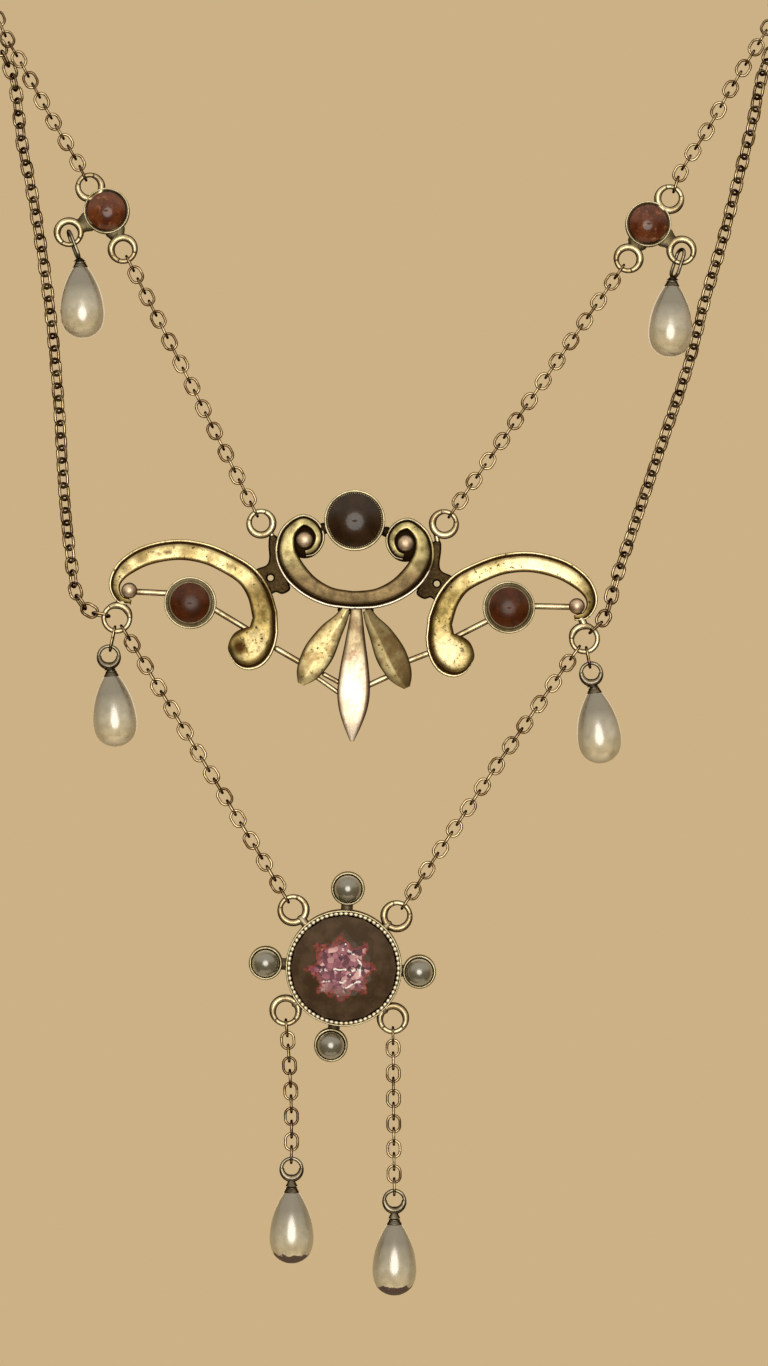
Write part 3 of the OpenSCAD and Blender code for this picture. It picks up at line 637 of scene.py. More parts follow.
def gold(name, light, dull, dirt_and_shade, spots=0.0, rough=(0.24, 0.4), grain=0.006, use_tone=True, high=None,
         side_shade=0.9, side_from=0.25, bright=(0.95, 0.85, 0.55)):
    """Worn gold: two tones in soft clouds, scattered brown spots, tarnish and painted shade in the low
    places, painted shade where a surface turns sideways, and a painted highlight where the tone is below
    zero.

    high is (height where it starts, height where it is full, light, dull): colours that take over higher up,
    as painted light and shade."""
    mat, tree = new_material(name)
    at = tree.millimetres()
    clouds = tree.remap(tree.noise(at, 0.7, 5, 0.6), 0.36, 0.64)
    colour = tree.mix(clouds, light, dull)
    fine = tree.noise(at, 3.2, 5, 0.65)
    # Painted light and shade by height: the high colours take over higher up
    if high:
        level = tree.maths("ADD", tree.parts(at)[2], tree.maths("MULTIPLY", fine, 3))
        share = tree.remap(level, high[0] + 1.5, high[1] + 1.5)
        colour = tree.mix(share, colour, tree.mix(clouds, high[2], high[3]))
    stain = tree.remap(fine, 0.66 - 0.1 * spots, 0.74)
    where = tree.remap(tree.noise(at, 0.8, 2), 0.45, 0.6)
    amount = tree.maths("MULTIPLY", tree.maths("MULTIPLY", stain, where), 0.5 + spots)
    # The tone adds tarnish and painted shade, and below zero a painted highlight in the bright colour
    if use_tone:
        tone = tree.tone()
        colour = tree.mix(tree.remap(tone, 0, -1, smooth=False), colour, bright)
        amount = tree.maths("MAXIMUM", amount, tree.maths("MULTIPLY", tone, 0.97))
    # Painted shade: surfaces that turn sideways are darkened
    if side_shade:
        edge = tree.remap(tree.sideways(), side_from, side_from + 0.4, 0, side_shade)
        amount = tree.maths("MAXIMUM", amount, edge)
    amount = tree.maths("MINIMUM", amount, 1.0)
    matt = tree.maths("ADD", tree.remap(fine, 0.3, 0.7, *rough), tree.maths("MULTIPLY", amount, 0.25))
    tree.surface({
        "Base Color": tree.mix(amount, colour, dirt_and_shade), "Metallic": 1.0, "Specular Tint": (0.55, 0.42, 0.28),
        "Roughness": matt,
    })
    tree.bump(tree.noise(at, 4, 4), grain / PER_METRE, 0.35)
    return mat


DIRT_AND_SHADE = (0.05, 0.022, 0.008)
CHAIN_DIRT_AND_SHADE = (0.02, 0.008, 0.003)
BEZEL_GOLD = gold("bezel_gold", (0.70, 0.62, 0.40), (0.42, 0.36, 0.21), DIRT_AND_SHADE, spots=0.5, rough=(0.35, 0.5))
# The wings and the crescent are lighter higher up and the middle leaf darker: painted light and shade
WING_GOLD = gold("wing_gold", (0.42, 0.32, 0.12), (0.18, 0.135, 0.045), (0.10, 0.04, 0.01), spots=1.1,
                 rough=(0.38, 0.52), grain=0.02, high=(-96.9, -94.7, (0.86, 0.74, 0.40), (0.50, 0.39, 0.17)),
                 bright=(0.95, 0.84, 0.52))
CRESCENT_GOLD = gold("crescent_gold", (0.22, 0.155, 0.075), (0.12, 0.085, 0.042), DIRT_AND_SHADE, spots=0.3,
                     rough=(0.4, 0.52), grain=0.015, bright=(1.0, 0.9, 0.74),
                     high=(-95.2, -92.2, (0.74, 0.64, 0.32), (0.28, 0.235, 0.10)))
LEAF_GOLD = gold("leaf_gold", (0.98, 0.86, 0.46), (0.50, 0.36, 0.16), (0.11, 0.065, 0.022), spots=1.2,
                 rough=(0.40, 0.52), grain=0.03)
MIDDLE_GOLD = gold("middle_leaf_gold", (0.95, 0.84, 0.68), (0.8, 0.62, 0.46), (0.12, 0.055, 0.02),
                   spots=0.2, rough=(0.42, 0.5), grain=0.015,
                   high=(-104.5, -101, (0.50, 0.41, 0.25), (0.27, 0.19, 0.11)))
BOSS_GOLD = gold("boss_gold", (0.80, 0.64, 0.47), (0.50, 0.35, 0.23), DIRT_AND_SHADE, spots=0.6, rough=(0.42, 0.56))
RING_GOLD = gold("ring_gold", (0.86, 0.74, 0.48), (0.44, 0.34, 0.19), DIRT_AND_SHADE, spots=0.7, rough=(0.34, 0.48),
                 side_shade=1.0, side_from=0.08)
BEAD_GOLD = gold("bead_gold", (1.0, 0.94, 0.76), (1.0, 0.9, 0.66), DIRT_AND_SHADE, rough=(0.5, 0.6), side_shade=0.15)
CHAIN_GOLD = gold("chain_gold", (0.60, 0.46, 0.26), (0.14, 0.075, 0.03), CHAIN_DIRT_AND_SHADE, spots=0.8,
                  rough=(0.16, 0.3), use_tone=False, side_shade=1.0, side_from=0.04)
BACK_CHAIN_GOLD = gold("back_chain_gold", (0.56, 0.43, 0.24), (0.14, 0.075, 0.03), CHAIN_DIRT_AND_SHADE, spots=0.8,
                       rough=(0.14, 0.28), use_tone=False, side_shade=0)
CAP_METAL = gold("cap_metal", (0.40, 0.35, 0.25), (0.16, 0.135, 0.09), (0.035, 0.026, 0.016), spots=0.5,
                 side_shade=1.0, side_from=0.08)
# Solder painted near black: partly its own colour, partly painted shade in the gaps between parts
SOLDER_AND_SHADE = gold("solder", (0.05, 0.032, 0.013), (0.026, 0.016, 0.007), (0.02, 0.012, 0.006), spots=0.6,
              rough=(0.4, 0.6), grain=0.04)
WEB_METAL = gold("web_metal", (0.17, 0.14, 0.08), (0.09, 0.07, 0.035), (0.03, 0.02, 0.01), spots=0.6,
                 rough=(0.35, 0.55), grain=0.02)


def cabochon(name, heart, rim, glow, speck, rough, coat):
    """A clouded stone with lighter flecks."""
    mat, tree = new_material(name)
    at = tree.millimetres()
    colour = tree.mix(tree.remap(tree.noise(at, 0.9, 4), 0.35, 0.65), heart, rim)
    flecks = tree.remap(tree.noise(at, 2.2, 4), 0.55, 0.72)
    colour = tree.mix(tree.maths("MULTIPLY", flecks, speck), colour, glow)
    tree.surface({
        "Base Color": colour, "Roughness": rough, "IOR": 1.38, "Coat Weight": coat, "Coat Roughness": 0.05,
    })
    tree.bump(tree.noise(at, 1.6), 0.00003, 0.3)
    return mat


TOP_STONE = cabochon("black_stone", (0.042, 0.02, 0.008), (0.022, 0.011, 0.004), (0.07, 0.035, 0.014), 0.3,
                     0.22, 0.22)
WING_STONE = cabochon("red_stone", (0.09, 0.021, 0.004), (0.05, 0.012, 0.002), (0.15, 0.05, 0.018), 0.4,
                      0.28, 0)
AMBER_STONE = cabochon("amber_stone", (0.17, 0.045, 0.012), (0.085, 0.02, 0.006), (0.36, 0.13, 0.05), 0.8,
                       0.25, 0.4)


def pearl_material(name, top, body, low, worn=False):
    """Nacre, lighter from the top down. A worn pearl is bare and brown at its tip."""
    mat, tree = new_material(name)
    at = tree.millimetres()
    tone = tree.tone()
    colour = tree.ramp(tone, [(0.0, top), (0.3, top), (0.62, body), (0.84, low), (1.0, low)])
    colour = tree.mix(tree.remap(tree.noise(at, 1.4), 0.35, 0.75, 0, 0.3), colour, top)
    # Painted shade: darker where the surface turns sideways
    colour = tree.mix(tree.remap(tree.sideways(), 0.12, 0.8, 0, 0.85), colour, (0.13, 0.10, 0.05))
    coat, rough = 1.0, 0.28
    if worn:
        ragged = tree.maths("MULTIPLY", tree.noise(at, 1.6, 4), 0.16)
        bare = tree.remap(tree.maths("ADD", tone, ragged), 0.945, 0.96)
        colour = tree.mix(bare, colour, (0.075, 0.028, 0.01))
        coat, rough = tree.remap(bare, 0, 1, coat, 0), tree.remap(bare, 0, 1, rough, 0.8)
    tree.surface({
        "Base Color": colour, "Roughness": rough, "IOR": 2.0, "Coat Weight": coat, "Coat Roughness": 0.19,
        "Coat IOR": 1.9,
    })
    tree.bump(tree.noise(at, 1.2), 0.00003, 0.2)
    return mat


NACRE = ((0.17, 0.145, 0.085), (0.66, 0.6, 0.45), (0.85, 0.72, 0.46))
PEARL = pearl_material("cream_pearl", *NACRE)
WORN_PEARL = pearl_material("worn_pearl", *NACRE, worn=True)
SEED_PEARL = pearl_material("seed_pearl", (0.14, 0.125, 0.08), (0.16, 0.145, 0.095), (0.4, 0.35, 0.24))


def paste_material():
    """A dark foiled stone with a painted reflection in its heart: a jagged pink star crossed by bright
    broken lines of painted highlight.
    """
    mat, tree = new_material("paste_stone")
    at = tree.millimetres()
    op, remap, mix = tree.maths, tree.remap, tree.mix
    away = tree.add("VectorMath")
    away.operation = "SUBTRACT"
    tree.fill(away.inputs[0], at)
    away.inputs[1].default_value = tuple(in_front(PENDANT_AT) + np.array([-0.2, 0, 0]))
    x, _, z = tree.parts(away.outputs[0])

    def near(value, place, half):
        """One where a value lies within half of a place."""
        return remap(op("ABSOLUTE", op("SUBTRACT", value, place)), half * 0.6, half, 1, 0)

    radius = op("SQRT", op("ADD", op("MULTIPLY", x, x), op("MULTIPLY", z, z)))
    angle = op("ARCTAN2", z, x)
    teeth = op("POWER", op("SUBTRACT", 1.0, op("PINGPONG", op("MULTIPLY", angle, 8 / math.pi), 1.0)), 1.6)
    rough = op("SUBTRACT", tree.noise(at, 1.5, 5, 0.7), 0.5)
    reach = op("ADD", op("ADD", op("MULTIPLY", teeth, 0.75), 2.45), op("MULTIPLY", rough, 3.2))
    depth = op("SUBTRACT", reach, radius)
    inside = remap(depth, -0.05, 0.1)
    cells = tree.add("TexVoronoi")
    cells.inputs["Scale"].default_value = 2.5
    tree.fill(cells.inputs["Vector"], at)
    tint = tree.add("SeparateColor")
    tree.fill(tint.inputs[0], cells.outputs["Color"])
    # The star is a painted reflection, fading to brown below and red at its edge
    pink = tree.ramp(tint.outputs[0], [
        (0.0, (0.05, 0.014, 0.02)), (0.25, (0.12, 0.03, 0.052)), (0.5, (0.25, 0.075, 0.115)),
        (0.8, (0.38, 0.14, 0.18)), (1.0, (0.8, 0.48, 0.47)),
    ])
    pink = mix(op("MULTIPLY", remap(z, -1.2, -2.4), 0.7), pink, (0.17, 0.12, 0.09))
    pink = mix(remap(depth, 0.1, 0.7), (0.27, 0.055, 0.04), pink)
    broken = remap(tree.noise(at, 2.2), 0.46, 0.54)
    wavy = op("MULTIPLY", rough, 0.7)
    # Painted highlights: a broken arc and bars of light, and sparks on some cells
    arc = op("MULTIPLY", near(op("ADD", radius, wavy), 1.75, 0.12), remap(x, -0.2, 0.3))
    bars = op("ADD", near(op("ADD", z, wavy), -0.1, 0.1), near(op("ADD", z, wavy), -1.15, 0.12))
    lines = op("ADD", arc, op("MULTIPLY", bars, remap(op("ABSOLUTE", x), 1.5, 2.1, 1, 0)))
    sparks = remap(cells.outputs["Distance"], 0.2, 0.3, 1, 0)
    sparks = op("MULTIPLY", sparks, remap(tint.outputs[1], 0.84, 0.88))
    bright = op("MULTIPLY", op("MAXIMUM", op("MULTIPLY", lines, broken), sparks), inside)
    pink = mix(op("MINIMUM", bright, 1.0), pink, (1.0, 0.93, 0.9))
    murk = remap(tree.noise(at, 0.7), 0.35, 0.65)
    dark = mix(murk, (0.062, 0.037, 0.019), (0.1, 0.062, 0.035))
    tree.surface({"Base Color": mix(inside, dark, pink), "Roughness": 0.3, "IOR": 1.25})
    tree.bump(op("MULTIPLY", cells.outputs["Distance"], inside), 0.0001, 0.4)
    return mat


PASTE = paste_material()

# Solids that keep their own shape: how a name starts, and its material
FINISHES = (
    ("chain_", CHAIN_GOLD), ("link_", CHAIN_GOLD), ("cap_", CAP_METAL), ("connector_stone", AMBER_STONE),
    ("plaque_stone_top", TOP_STONE), ("plaque_stone", WING_STONE), ("", RING_GOLD),
)
for node_name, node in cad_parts.items():
    node.data.materials.clear()
    node.data.materials.append(next(finish for start, finish in FINISHES if node_name.startswith(start)))

# The plaque: places of tarnish and painted shade as u, w, height, reach and amount
CRESCENT_MARKS = [(6.3, 4.6, 0.65, 1.8, 0.3), (-5.7, 6.9, 0.65, 0.5, 0.5), (3.5, 5.9, 0.6, 0.5, 0.5)]
LEFT_WING_MARKS = [
    (-10.25, -4.6, 0.6, 0.7, 1), (-17.1, 3.8, 0.65, 0.35, 0.8), (-18, 3.55, 0.65, 0.25, 0.6),
    (-8.5, 0, 0.65, 2.4, 0.3), (-15.6, 4.1, 0.65, 0.8, 0.28), (-19.6, 3.2, 0.65, 0.7, 0.4),
    (-13.2, 3.6, 0.65, 0.55, 0.22), (-11.4, 2.7, 0.65, 0.6, 0.3), (-20.9, 2.1, 0.65, 0.6, 0.35),
    (-18.6, 4, 0.65, 0.5, 0.3),
]
crescent = Build()
scroll(crescent, edges_of([(-u, w, width, rise) for u, w, width, rise in CRESCENT[::-1]] + CRESCENT, 8))
bosses = Build()
for s in (1, -1):
    volute_at = (s * VOLUTE_BOSS_AT[0], VOLUTE_BOSS_AT[1])
    blob(bosses, on_plaque(*volute_at, -0.2), (VOLUTE_BOSS_R, VOLUTE_BOSS_R, 0.55), FLAT, 32, 14)
    # A dark seat behind each volute boss: tarnish and painted shade
    seat = [(1.4, -SCROLL_BACK), (1.7, -SCROLL_BACK), (1.7, -0.2), (0.01, -0.2)]
    revolve(crescent, on_plaque(*volute_at), FACING, UP, seat, 32, [0.3, 1, 1, 1])
    wing_at = (s * WING_BOSS_AT[0], WING_BOSS_AT[1])
    blob(bosses, on_plaque(*wing_at, -0.15), (WING_BOSS_R, WING_BOSS_R, 0.6), FLAT, 32, 14)
for u, w, height, reach, amount in CRESCENT_MARKS:
    crescent.shade_and_tarnish(on_plaque(u, w, -height), reach, amount)
crescent.piece("crescent", CRESCENT_GOLD, ["plaque_frame"])
bosses.piece("bosses", BOSS_GOLD, ["plaque_frame"])

for _, s, side in SIDES:
    wing = Build()
    scroll(wing, np.concatenate([edges_of(WING, 8), spline(WING_END, 8)]), s)
    if s < 0:
        for u, w, height, reach, amount in LEFT_WING_MARKS:
            wing.shade_and_tarnish(on_plaque(u, w, -height), reach, amount)
    else:
        # Painted highlight on the right wing's top and on both wing ends
        wing.paint_highlight(on_plaque(17.2, 3.8, -0.7), 4.5, 0.8)
    wing.paint_highlight(on_plaque(s * 8.7, -4.6, -0.7), 2.2, 0.25 if s < 0 else 0.6)
    wing.piece("wing_" + side, WING_GOLD, ["plaque_frame"])

leaves = Build()
# Painted shade on the leaves' facets, heavier on the right leaf
leaf(leaves, SIDE_LEAF, 0.8, 1, -0.2, (0.4, 0.8))
leaf(leaves, SIDE_LEAF, 0.8, -1, -0.1, (0, 0.1))
leaves.piece("side_leaves", LEAF_GOLD, ["plaque_frame"])
middle_leaf = Build()
leaf(middle_leaf, MIDDLE_LEAF, 0.9, 1, -0.15, slope=0.35)
middle_leaf.piece("middle_leaf", MIDDLE_GOLD, ["plaque_frame"])


def turning(loop):
    """1 for a closed row of points that runs anticlockwise, -1 for a clockwise one."""
    x, y = np.array(loop).T
    return math.copysign(1, np.sum(x * np.roll(y, -1) - np.roll(x, -1) * y))


def inset(loop, by):
    """A closed row of points moved inwards."""
    loop = np.array(loop)
    ahead = np.roll(loop, -1, 0) - np.roll(loop, 1, 0)
    ahead /= np.linalg.norm(ahead, axis=1)[:, None]
    return loop + by * turning(loop) * np.stack([-ahead[:, 1], ahead[:, 0]], 1)


def sheet(build, s, loops, depth, toward, tone):
    """The flat face between an outline and its holes, turned to the front for 1 or to the back for -1."""
    points = [on_plaque(s * u, w, depth) for loop in loops for u, w in loop]
    faces = []
    for f in tessellate_polygon([[Vector((u, w, 0)) for u, w in loop] for loop in loops]):
        a, b, c = [points[i] for i in f]
        faces.append(f if np.cross(b - a, c - a)[1] * toward < 0 else f[::-1])
    build.add(points, faces, tone)


WEB_HOLE_R = 0.27
WEB_FRONT = -0.2
WEB_BACK = 0.3


def solder_web(build, s):
    """A thin rounded sheet of solder with a small hole, between crescent, wing and ring; its near-black
    colour is partly painted shade.
    """
    steps = 5
    edge = spline(SOLDER_OUTLINE[-1:] + SOLDER_OUTLINE + SOLDER_OUTLINE[:2], steps)[steps:-steps - 1]
    hole = [(WEB_HOLE_AT[0] + WEB_HOLE_R * math.cos(t), WEB_HOLE_AT[1] + WEB_HOLE_R * math.sin(t))
            for t in angles(20)]
    fronts = []
    for loop, way in ((edge, 1), (hole, -1)):
        fronts.append(inset(loop, way * 0.17))
        levels = [(loop, WEB_BACK), (loop, -0.02), (inset(loop, way * 0.07), -0.14), (fronts[-1], WEB_FRONT)]
        n = len(loop)
        points = [on_plaque(s * u, w, depth) for row, depth in levels for u, w in row]
        tones = [1] * 2 * n + [0.4] * n + [0] * n
        build.add(points, grid_faces(len(levels), n, s * way * turning(loop) < 0), tones)
    sheet(build, s, fronts, WEB_FRONT, 1, 0.0)
    sheet(build, s, (edge, hole), WEB_BACK, -1, 0.3)


joins = Build()
for s in (1, -1):
    solder_web(joins, s)
# Dark blobs of solder in the gaps beside the top stone and the leaves' tops: painted shade
for u, w, r in ((-2.95, 6.5, 0.55), (2.85, 6.4, 0.5), (-1, -0.9, 0.4), (1.55, -0.9, 0.4), (0.2, -0.95, 0.6)):
    blob(joins, on_plaque(u, w, -0.05), (r, r, 0.35), FLAT, tone=0.5)
joins.piece("solder_joins_and_shade", SOLDER_AND_SHADE, ["plaque_frame"])

# Wires as two ends and a thickness: those on both sides alike, then the others, with the one behind the top
# stone last
BOTH_WIRES = [((20.2, 0.1), (16.7, 0.05), 0.56), ((12.85, -1.2), (9.7, -2.95), 0.56)]
OTHER_WIRES = [
    ((-6.85, -4.7), (-4.6, -5.9), 0.56), ((-2.4, -6.9), (-0.8, -7.7), 0.45),
    ((-3, -7.25), (-1.1, -8.5), 0.42), ((7, -4.65), (5, -5.5), 0.56), ((1.4, -7.9), (3.4, -6.9), 0.54),
    ((-2.9, 6.4), (3, 6.4), 0.7),
]
wires = Build()
for s in (1, -1):
    for a, b, d in BOTH_WIRES:
        rod(wires, on_plaque(s * a[0], a[1], 0.1), on_plaque(s * b[0], b[1], 0.1), d)
for a, b, d in OTHER_WIRES:
    rod(wires, on_plaque(*a, 0.12), on_plaque(*b, 0.12), d)
for i, s, _ in SIDES:
    ring_u, ring_w = WING_RING_AT[i]
    soldered_ring(wires, on_plaque(ring_u, ring_w), WING_RING_D, 90 + 28 * s, 62)
    rod(wires, on_plaque(s * 20.9, -0.7, 0.1), on_plaque(ring_u, ring_w + 1.2, 0.1), 0.7)
    ring_u, ring_w = CHAIN_RING_AT[i]
    soldered_ring(wires, on_plaque(ring_u, ring_w), RING_D, (-63, -125)[i])
    rod(wires, on_plaque(s * 7.6, 5.6, 0.1), on_plaque(ring_u - s * 0.8, ring_w - 0.7, 0.1), 0.5)
wires.piece("plaque_wires", RING_GOLD, ["plaque_frame"])

BEZEL_FLOOR = -0.29
BEZEL_BACK = -0.6


def bezel(build, at, d, band, lip, beads, band_tone, over=0.0):
    """An open bezel: a bright lip, then a band down to the stone, or up over its edge by a width."""
    r = d / 2
    inner = r - band
    edge = [(inner, 0.16), (inner - 0.02, BEZEL_FLOOR)]
    if over:
        edge = [(inner, 0.4), (inner - 0.5 * over, 0.49), (inner - over, 0.57), (inner - over - 0.02, 0.45)]
    profile = [
        (0.01, BEZEL_BACK), (r - 0.04, BEZEL_BACK), (r, -0.55), (r, 0.2), (r - 0.01, 0.33), (r - 0.04, 0.38),
        (r - 0.5 * lip, 0.38), (r - 0.8 * lip, 0.37), (r - lip, 0.3), (r - lip - 0.04, 0.26),
    ] + edge + [(0.01, BEZEL_FLOOR)]
    # Tarnish and painted shade on the back, the outer wall and the floor; the lip is clean
    tones = [0.35, 0.5, 0.9, 0.8, 0.3, 0, 0, 0, 0.4] + [band_tone] * len(edge) + [1, 1]
    revolve(build, at, FACING, UP, profile, 64, tones)
    for k in range(beads):
        angle = 360 * k / beads
        bead = at + polar(angle, r - lip - 0.08) + np.array(FACING) * 0.27
        blob(build, bead, (0.085, 0.07, 0.075), ring_axes(angle), 8, 5, band_tone * 0.4)


bezels = Build()
bezel(bezels, on_plaque(*TOP_STONE_AT), TOP_BEZEL_D, 0.36, 0.22, 84, 0.3)
for p in WING_STONE_AT:
    bezel(bezels, on_plaque(*p), WING_BEZEL_D, 0.36, 0.2, 70, 0.65, 0.21)
bezels.piece("plaque_bezels", BEZEL_GOLD, ["plaque_frame"])

# The connectors
for i, _, side in SIDES:
    middle = in_front(CONNECTOR_AT[i])
    setting = Build()
    rings = Build()
    web = Build()
    bezel(setting, middle, CONNECTOR_BEZEL_D, 0.34, 0.17, 0, 0.4)
    for (angle, reach), hook in zip(CONNECTOR_RINGS[i], CONNECTOR_HOOKS[i]):
        soldered_ring(rings, middle + polar(angle, reach), RING_D, hook + 180)
    for angle, reach in CONNECTOR_RINGS[i][1:]:
        for share, half in ((0, 0.95), (0.35, 0.85), (0.7, 0.75), (1, 0.72)):
            r = 2 + share * (reach - 1.35 - 2)
            blob(web, middle + polar(angle, r), (half, 0.6, 0.26), ring_axes(angle), 20, 10)
    rings.piece("rings_" + side, RING_GOLD, ["connector_" + side])
    setting.piece("setting_" + side, BEZEL_GOLD, ["connector_" + side])
    web.piece("web_" + side, WEB_METAL, ["connector_" + side])

# The pendant's setting with its beaded rim, rings and pearl cups
pendant = in_front(PENDANT_AT)
setting = Build()
# The rim's top gets a painted highlight (negative tone); the back, walls and floor tarnish and painted shade
revolve(setting, pendant, FACING, UP, [
    (0.01, -2.15), (4.95, -2.15), (5.3, -1.9), (PENDANT_R, -1.6), (PENDANT_R, 0.5), (PENDANT_R - 0.02, 0.64),
    (PENDANT_R - 0.07, 0.7), (PENDANT_R - 0.14, 0.68), (PENDANT_R - 0.18, 0.58), (4.98, 0.6), (4.9, 0.55),
    (4.88, -1.85), (0.01, -1.85),
], 120, [0.35, 0.5, 0.6, 0.5, 0.3, 0, -0.4, -0.3, 1, 1, 1, 1, 1])
rings = Build()
for (angle, reach), hook in zip(PENDANT_RINGS, PENDANT_HOOKS):
    soldered_ring(rings, pendant + polar(angle, reach), PENDANT_RING_D, hook + 180)
    rod(rings, pendant + polar(angle, PENDANT_R - 0.3), pendant + polar(angle, reach - 1.15), 0.8, 0.45)
for angle, reach in PENDANT_CUPS:
    cup = pendant + polar(angle, reach)
    revolve(setting, cup, FACING, UP, [
        (0.01, -1.25), (1.3, -1.25), (CUP_R, -1.05), (CUP_R, 0.05), (CUP_R - 0.03, 0.17),
        (CUP_R - 0.1, 0.24), (CUP_R - 0.17, 0.24), (SEAT_R + 0.02, 0.16), (SEAT_R, 0), (SEAT_R, -1),
        (0.01, -1),
    ], 48, [0.35, 0.5, 0.9, 0.8, 0.35, 0, 0, 0.5, 1, 1, 1])
    behind = pendant + np.array([0, 0.5, 0])
    rod(setting, behind + polar(angle, PENDANT_R - 0.3), behind + polar(angle, reach - 1.4), 1.1, 0.8)
rings.piece("pendant_rings", RING_GOLD, ["pendant_frame"])
setting.piece("pendant_setting", BEZEL_GOLD, ["pendant_frame"])

milgrain = Build()
for k in range(RIM_BEADS):
    angle = 360 * k / RIM_BEADS
    bead = in_front(PENDANT_AT, -RIM_FRONT) + polar(angle, RIM_R)
    blob(milgrain, bead, (0.21, 0.16, 0.11), ring_axes(angle), 12, 7)
milgrain.piece("pendant_milgrain", BEAD_GOLD, ["pendant_frame"])


def corners(share, height, first):
    """Eight corners of the pendant's stone, at a share of its radius, from a first angle."""
    return [in_front(PENDANT_AT, -height) + polar(first + 45 * k, STONE_R * share) for k in range(8)]


stone = Build()
TABLE = corners(0.55, 1.55, 22.5)
STAR = corners(0.76, 1.22, 0)
KITE = corners(1, 0.7, 22.5)
BETWEEN = corners(1, 0.7, 0)
LOW_KITE = corners(1, 0.5, 22.5)
LOW_BETWEEN = corners(1, 0.5, 0)
BACK = corners(0.6, -0.7, 22.5)
CULET = corners(0.12, -1.7, 22.5)
facets = [TABLE, CULET[::-1]]
for k in range(8):
    n = (k + 1) % 8
    facets += [
        (TABLE[k], STAR[n], TABLE[n]), (TABLE[k], STAR[k], KITE[k], STAR[n]), (STAR[n], KITE[k], BETWEEN[n]),
        (STAR[n], BETWEEN[n], KITE[n]), (KITE[k], LOW_KITE[k], LOW_BETWEEN[n], BETWEEN[n]),
        (BETWEEN[n], LOW_BETWEEN[n], LOW_KITE[n], KITE[n]), (LOW_KITE[k], BACK[k], LOW_BETWEEN[n]),
        (LOW_BETWEEN[n], BACK[k], BACK[n]), (LOW_BETWEEN[n], BACK[n], LOW_KITE[n]),
        (BACK[k], CULET[k], CULET[n], BACK[n]),
    ]
# each flat facet has corners of its own, so its edges stay crisp
for places in facets:
    stone.add(places, [tuple(range(len(places)))])
stone_piece = stone.piece("paste_brilliant", PASTE, ["pendant_stone"])
stone_piece.data.polygons.foreach_set("use_smooth", [False] * len(stone_piece.data.polygons))


# Pearls
def pear(kind, i, side):
    """The name of a pear pearl's node, its axis, which points down, and its top."""
    name = "pearl_%s_%s" % (kind, side)
    lean = math.radians(PEARL_LEAN[kind][i])
    axis = np.array([math.sin(lean), 0, -math.cos(lean)])
    return name, axis, middle_of(name) - axis * PEARL_H / 2


outline = [(max(r, 0.12) * PEARL_W / 2, h * PEARL_H) for h, r in spline(PEAR, 6)]
for kind in KINDS:
    for i, _, side in SIDES:
        name, axis, top = pear(kind, i, side)
        nacre = WORN_PEARL if kind == "drop" else PEARL
        pearl = Build()
        revolve(pearl, top, axis, FACING, outline, 56, [h / PEARL_H for _, h in outline])
        pearl.piece("pear_" + kind + "_" + side, nacre, [name])
for name in ("top", "left", "right", "bottom"):
    seed = Build()
    blob(seed, middle_of("pendant_pearl_" + name), (SEED_R, SEED_R, SEED_R), FLAT, 40, 24, 0.5)
    seed.piece("seed_pearl_" + name, SEED_PEARL, ["pendant_pearl_" + name])

# A dark neck bound over the top of each pearl, and a heavier lower half for the round rings over them
for kind in KINDS:
    for i, _, side in SIDES:
        _, axis, top = pear(kind, i, side)
        rise = NECK_H[kind]
        neck = Build()
        revolve(neck, top, -axis, FACING, [
            (0.62, -0.52), (0.7, -0.5), (0.66, -0.42), (0.57, -0.26), (0.45, -0.1), (0.32, 0.15 * rise),
            (0.22, 0.6 * rise), (0.17, rise),
        ], 32, 0.5)
        for turn in range(3):
            centre = top - axis * (turn * rise / 3 - 0.1)
            torus(neck, centre, axis, 0.46 - 0.1 * turn, NECK_WIRE, 32, 8, 0.2)
        if kind != "shoulder":
            low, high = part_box("cap_%s_%s" % (kind, side))
            x, z = PER_METRE * (low[0] + high[0]) / 2, PER_METRE * high[2] - CAP_RING_D / 2
            centre = np.array([x, -FRONT_DEPTH, z])
            heavy_arc(neck, centre, CAP_RING_D, CAP_WIRE, -90, 95, CAP_HEAVY_WIRE, tone=0.15)
        neck.piece("neck_%s_%s" % (kind, side), CAP_METAL)


# The long runs of fine links
def ring_hook(centre, ring_d, toward):
    """Where a link hooks into a ring, towards a place outside it."""
    return centre + ((ring_d - RING_WIRE) / 2 - RING_WIRE / 2 - HOOK_GAP / 2) * unit(toward - centre)


def join_hook(i, s, angle):
    """Where a link hooks into a join ring, at an angle given for the right one."""
    join = in_front(JOIN_AT[i])
    return ring_hook(join, JOIN_RING_D, join + polar(angle if s > 0 else 180 - angle, 1))


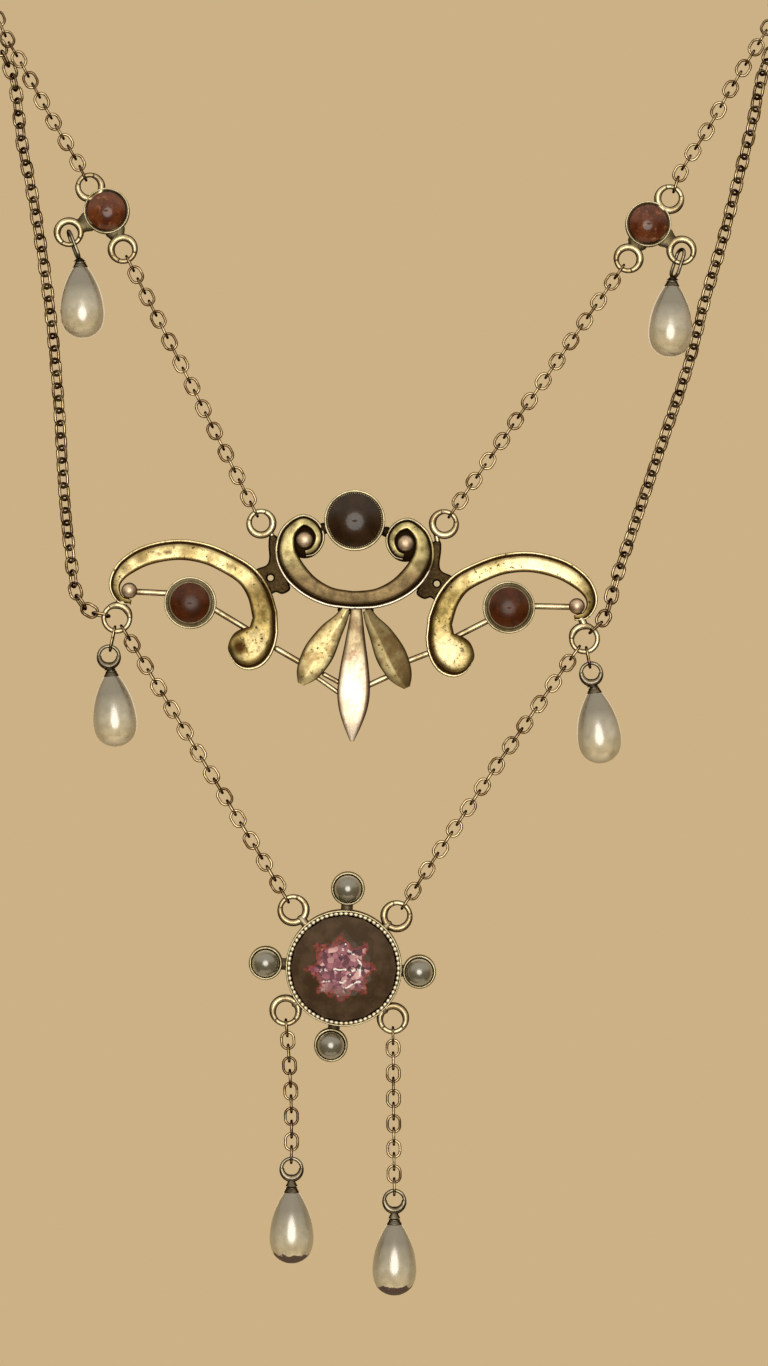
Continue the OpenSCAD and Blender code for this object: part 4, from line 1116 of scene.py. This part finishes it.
for i, s, side in SIDES:
    route = [in_front(p) for p in OUTER_ROUTE[i]]
    first = ring_hook(on_plaque(*WING_RING_AT[i]), WING_RING_D, route[0])
    strand = Build()
    path = spline([first] + route + [join_hook(i, s, OUTER_HOOK)], 8)
    link_chain(strand, path, (1, 0, 0), (1, 0, 0), OUTER_TWIST)
    strand.piece("outer_links_" + side, CHAIN_GOLD, ["strand_outer_" + side])

    start = join_hook(i, s, BACK_HOOK)
    ring_x = CLASP_L / 2 + (CLASP_RING_D - RING_WIRE) / 2 + RING_WIRE / 4
    clasp_ring = np.array([s * ring_x, CLASP_D / 2, 0])
    end = ring_hook(clasp_ring, CLASP_RING_D, clasp_ring + np.array([s, 0, 0]))
    # the points that pull the back chain up from the shoulder, round the neck and in to the nape
    pulls = [start, start + (s * 10, 0, 27), np.array([s * 62, -34, 0]), np.array([s * 26, end[1], 0]), end]
    curve = np.array([
        sum(math.comb(4, k) * t ** k * (1 - t) ** (4 - k) * p for k, p in enumerate(pulls))
        for t in np.linspace(0, 1, 240)
    ])
    back = Build()
    link_chain(back, curve, (1, 0, -0.3), (0, 0, 1))
    back.piece("back_links_" + side, BACK_CHAIN_GOLD, ["back_chain_" + side])

# Floor, lights and camera, in metres
FLOOR_HALF = 0.32
FLOOR_Y = -0.05
FLOOR_Z = -0.55
AIM = (0, -FRONT_DEPTH / PER_METRE, -0.105)
CAMERA_Z = -0.1048
CAMERA_AHEAD = 0.4
VIEW_HALF_H = 0.0628
SENSOR_H = 36
BACKDROP = (0.60, 0.44, 0.235)

floor_mesh = bpy.data.meshes.new("floor")
square = ((-1, -1), (1, -1), (1, 1), (-1, 1))
square = [(x * FLOOR_HALF, y * FLOOR_HALF + FLOOR_Y, FLOOR_Z) for x, y in square]
floor_mesh.from_pydata(square, [], [(0, 1, 2, 3)])
floor = in_scene("floor", floor_mesh)
floor_material, floor_tree = new_material("floor")
floor_tree.surface({"Base Color": (0.78, 0.72, 0.6), "Roughness": 0.8})
floor_mesh.materials.append(floor_material)


def disc_light(name, place, size, power, colour):
    """A round light turned to the necklace."""
    data = bpy.data.lights.new(name, "AREA")
    data.shape = "DISK"
    data.size = size
    data.energy = power
    data.color = colour
    lamp = in_scene(name, data)
    lamp.location = place
    lamp.rotation_euler = (Vector(AIM) - Vector(place)).to_track_quat("-Z", "Y").to_euler()


disc_light("flash", (0.0, -0.55, -0.1), 0.34, 1.15, (1, 0.95, 0.86))
disc_light("back", (0.0, 0.45, 0.1), 0.7, 0.75, (1, 0.97, 0.92))

# The light all round: the backdrop's colour behind, and ahead a soft glow above and brown shade below. The
# camera itself sees the backdrop's colour alone.
world = bpy.data.worlds.new("studio")
bpy.context.scene.world = world
sky = Tree(world, "Background")
_, ahead, up = sky.parts(sky.add("TexCoord").outputs["Generated"])
behind = sky.remap(ahead, 0.1, 0.6)
front_tone = sky.ramp(sky.remap(up, -1, 1, smooth=False), [
    (0.0, (0.05, 0.036, 0.02)), (0.42, (0.08, 0.06, 0.036)), (0.54, (0.16, 0.125, 0.08)),
    (0.7, (0.75, 0.68, 0.56)), (1.0, (0.8, 0.74, 0.64)),
])
glow = sky.mix(behind, front_tone, BACKDROP)
seen = sky.add("LightPath").outputs["Is Camera Ray"]
sky.surface({"Color": sky.mix(seen, glow, BACKDROP), "Strength": 1.0})

camera_data = bpy.data.cameras.new("camera")
camera_data.sensor_fit = "VERTICAL"
camera_data.sensor_height = SENSOR_H
camera_data.lens = SENSOR_H / 2 * CAMERA_AHEAD / VIEW_HALF_H
camera_data.clip_start = 0.01
camera_data.clip_end = 10
camera = in_scene("camera", camera_data)
camera.location = (0, AIM[1] - CAMERA_AHEAD, CAMERA_Z)
camera.rotation_euler = (math.pi / 2, 0, 0)
bpy.context.scene.camera = camera
bpy.context.scene.view_settings.view_transform = "Standard"
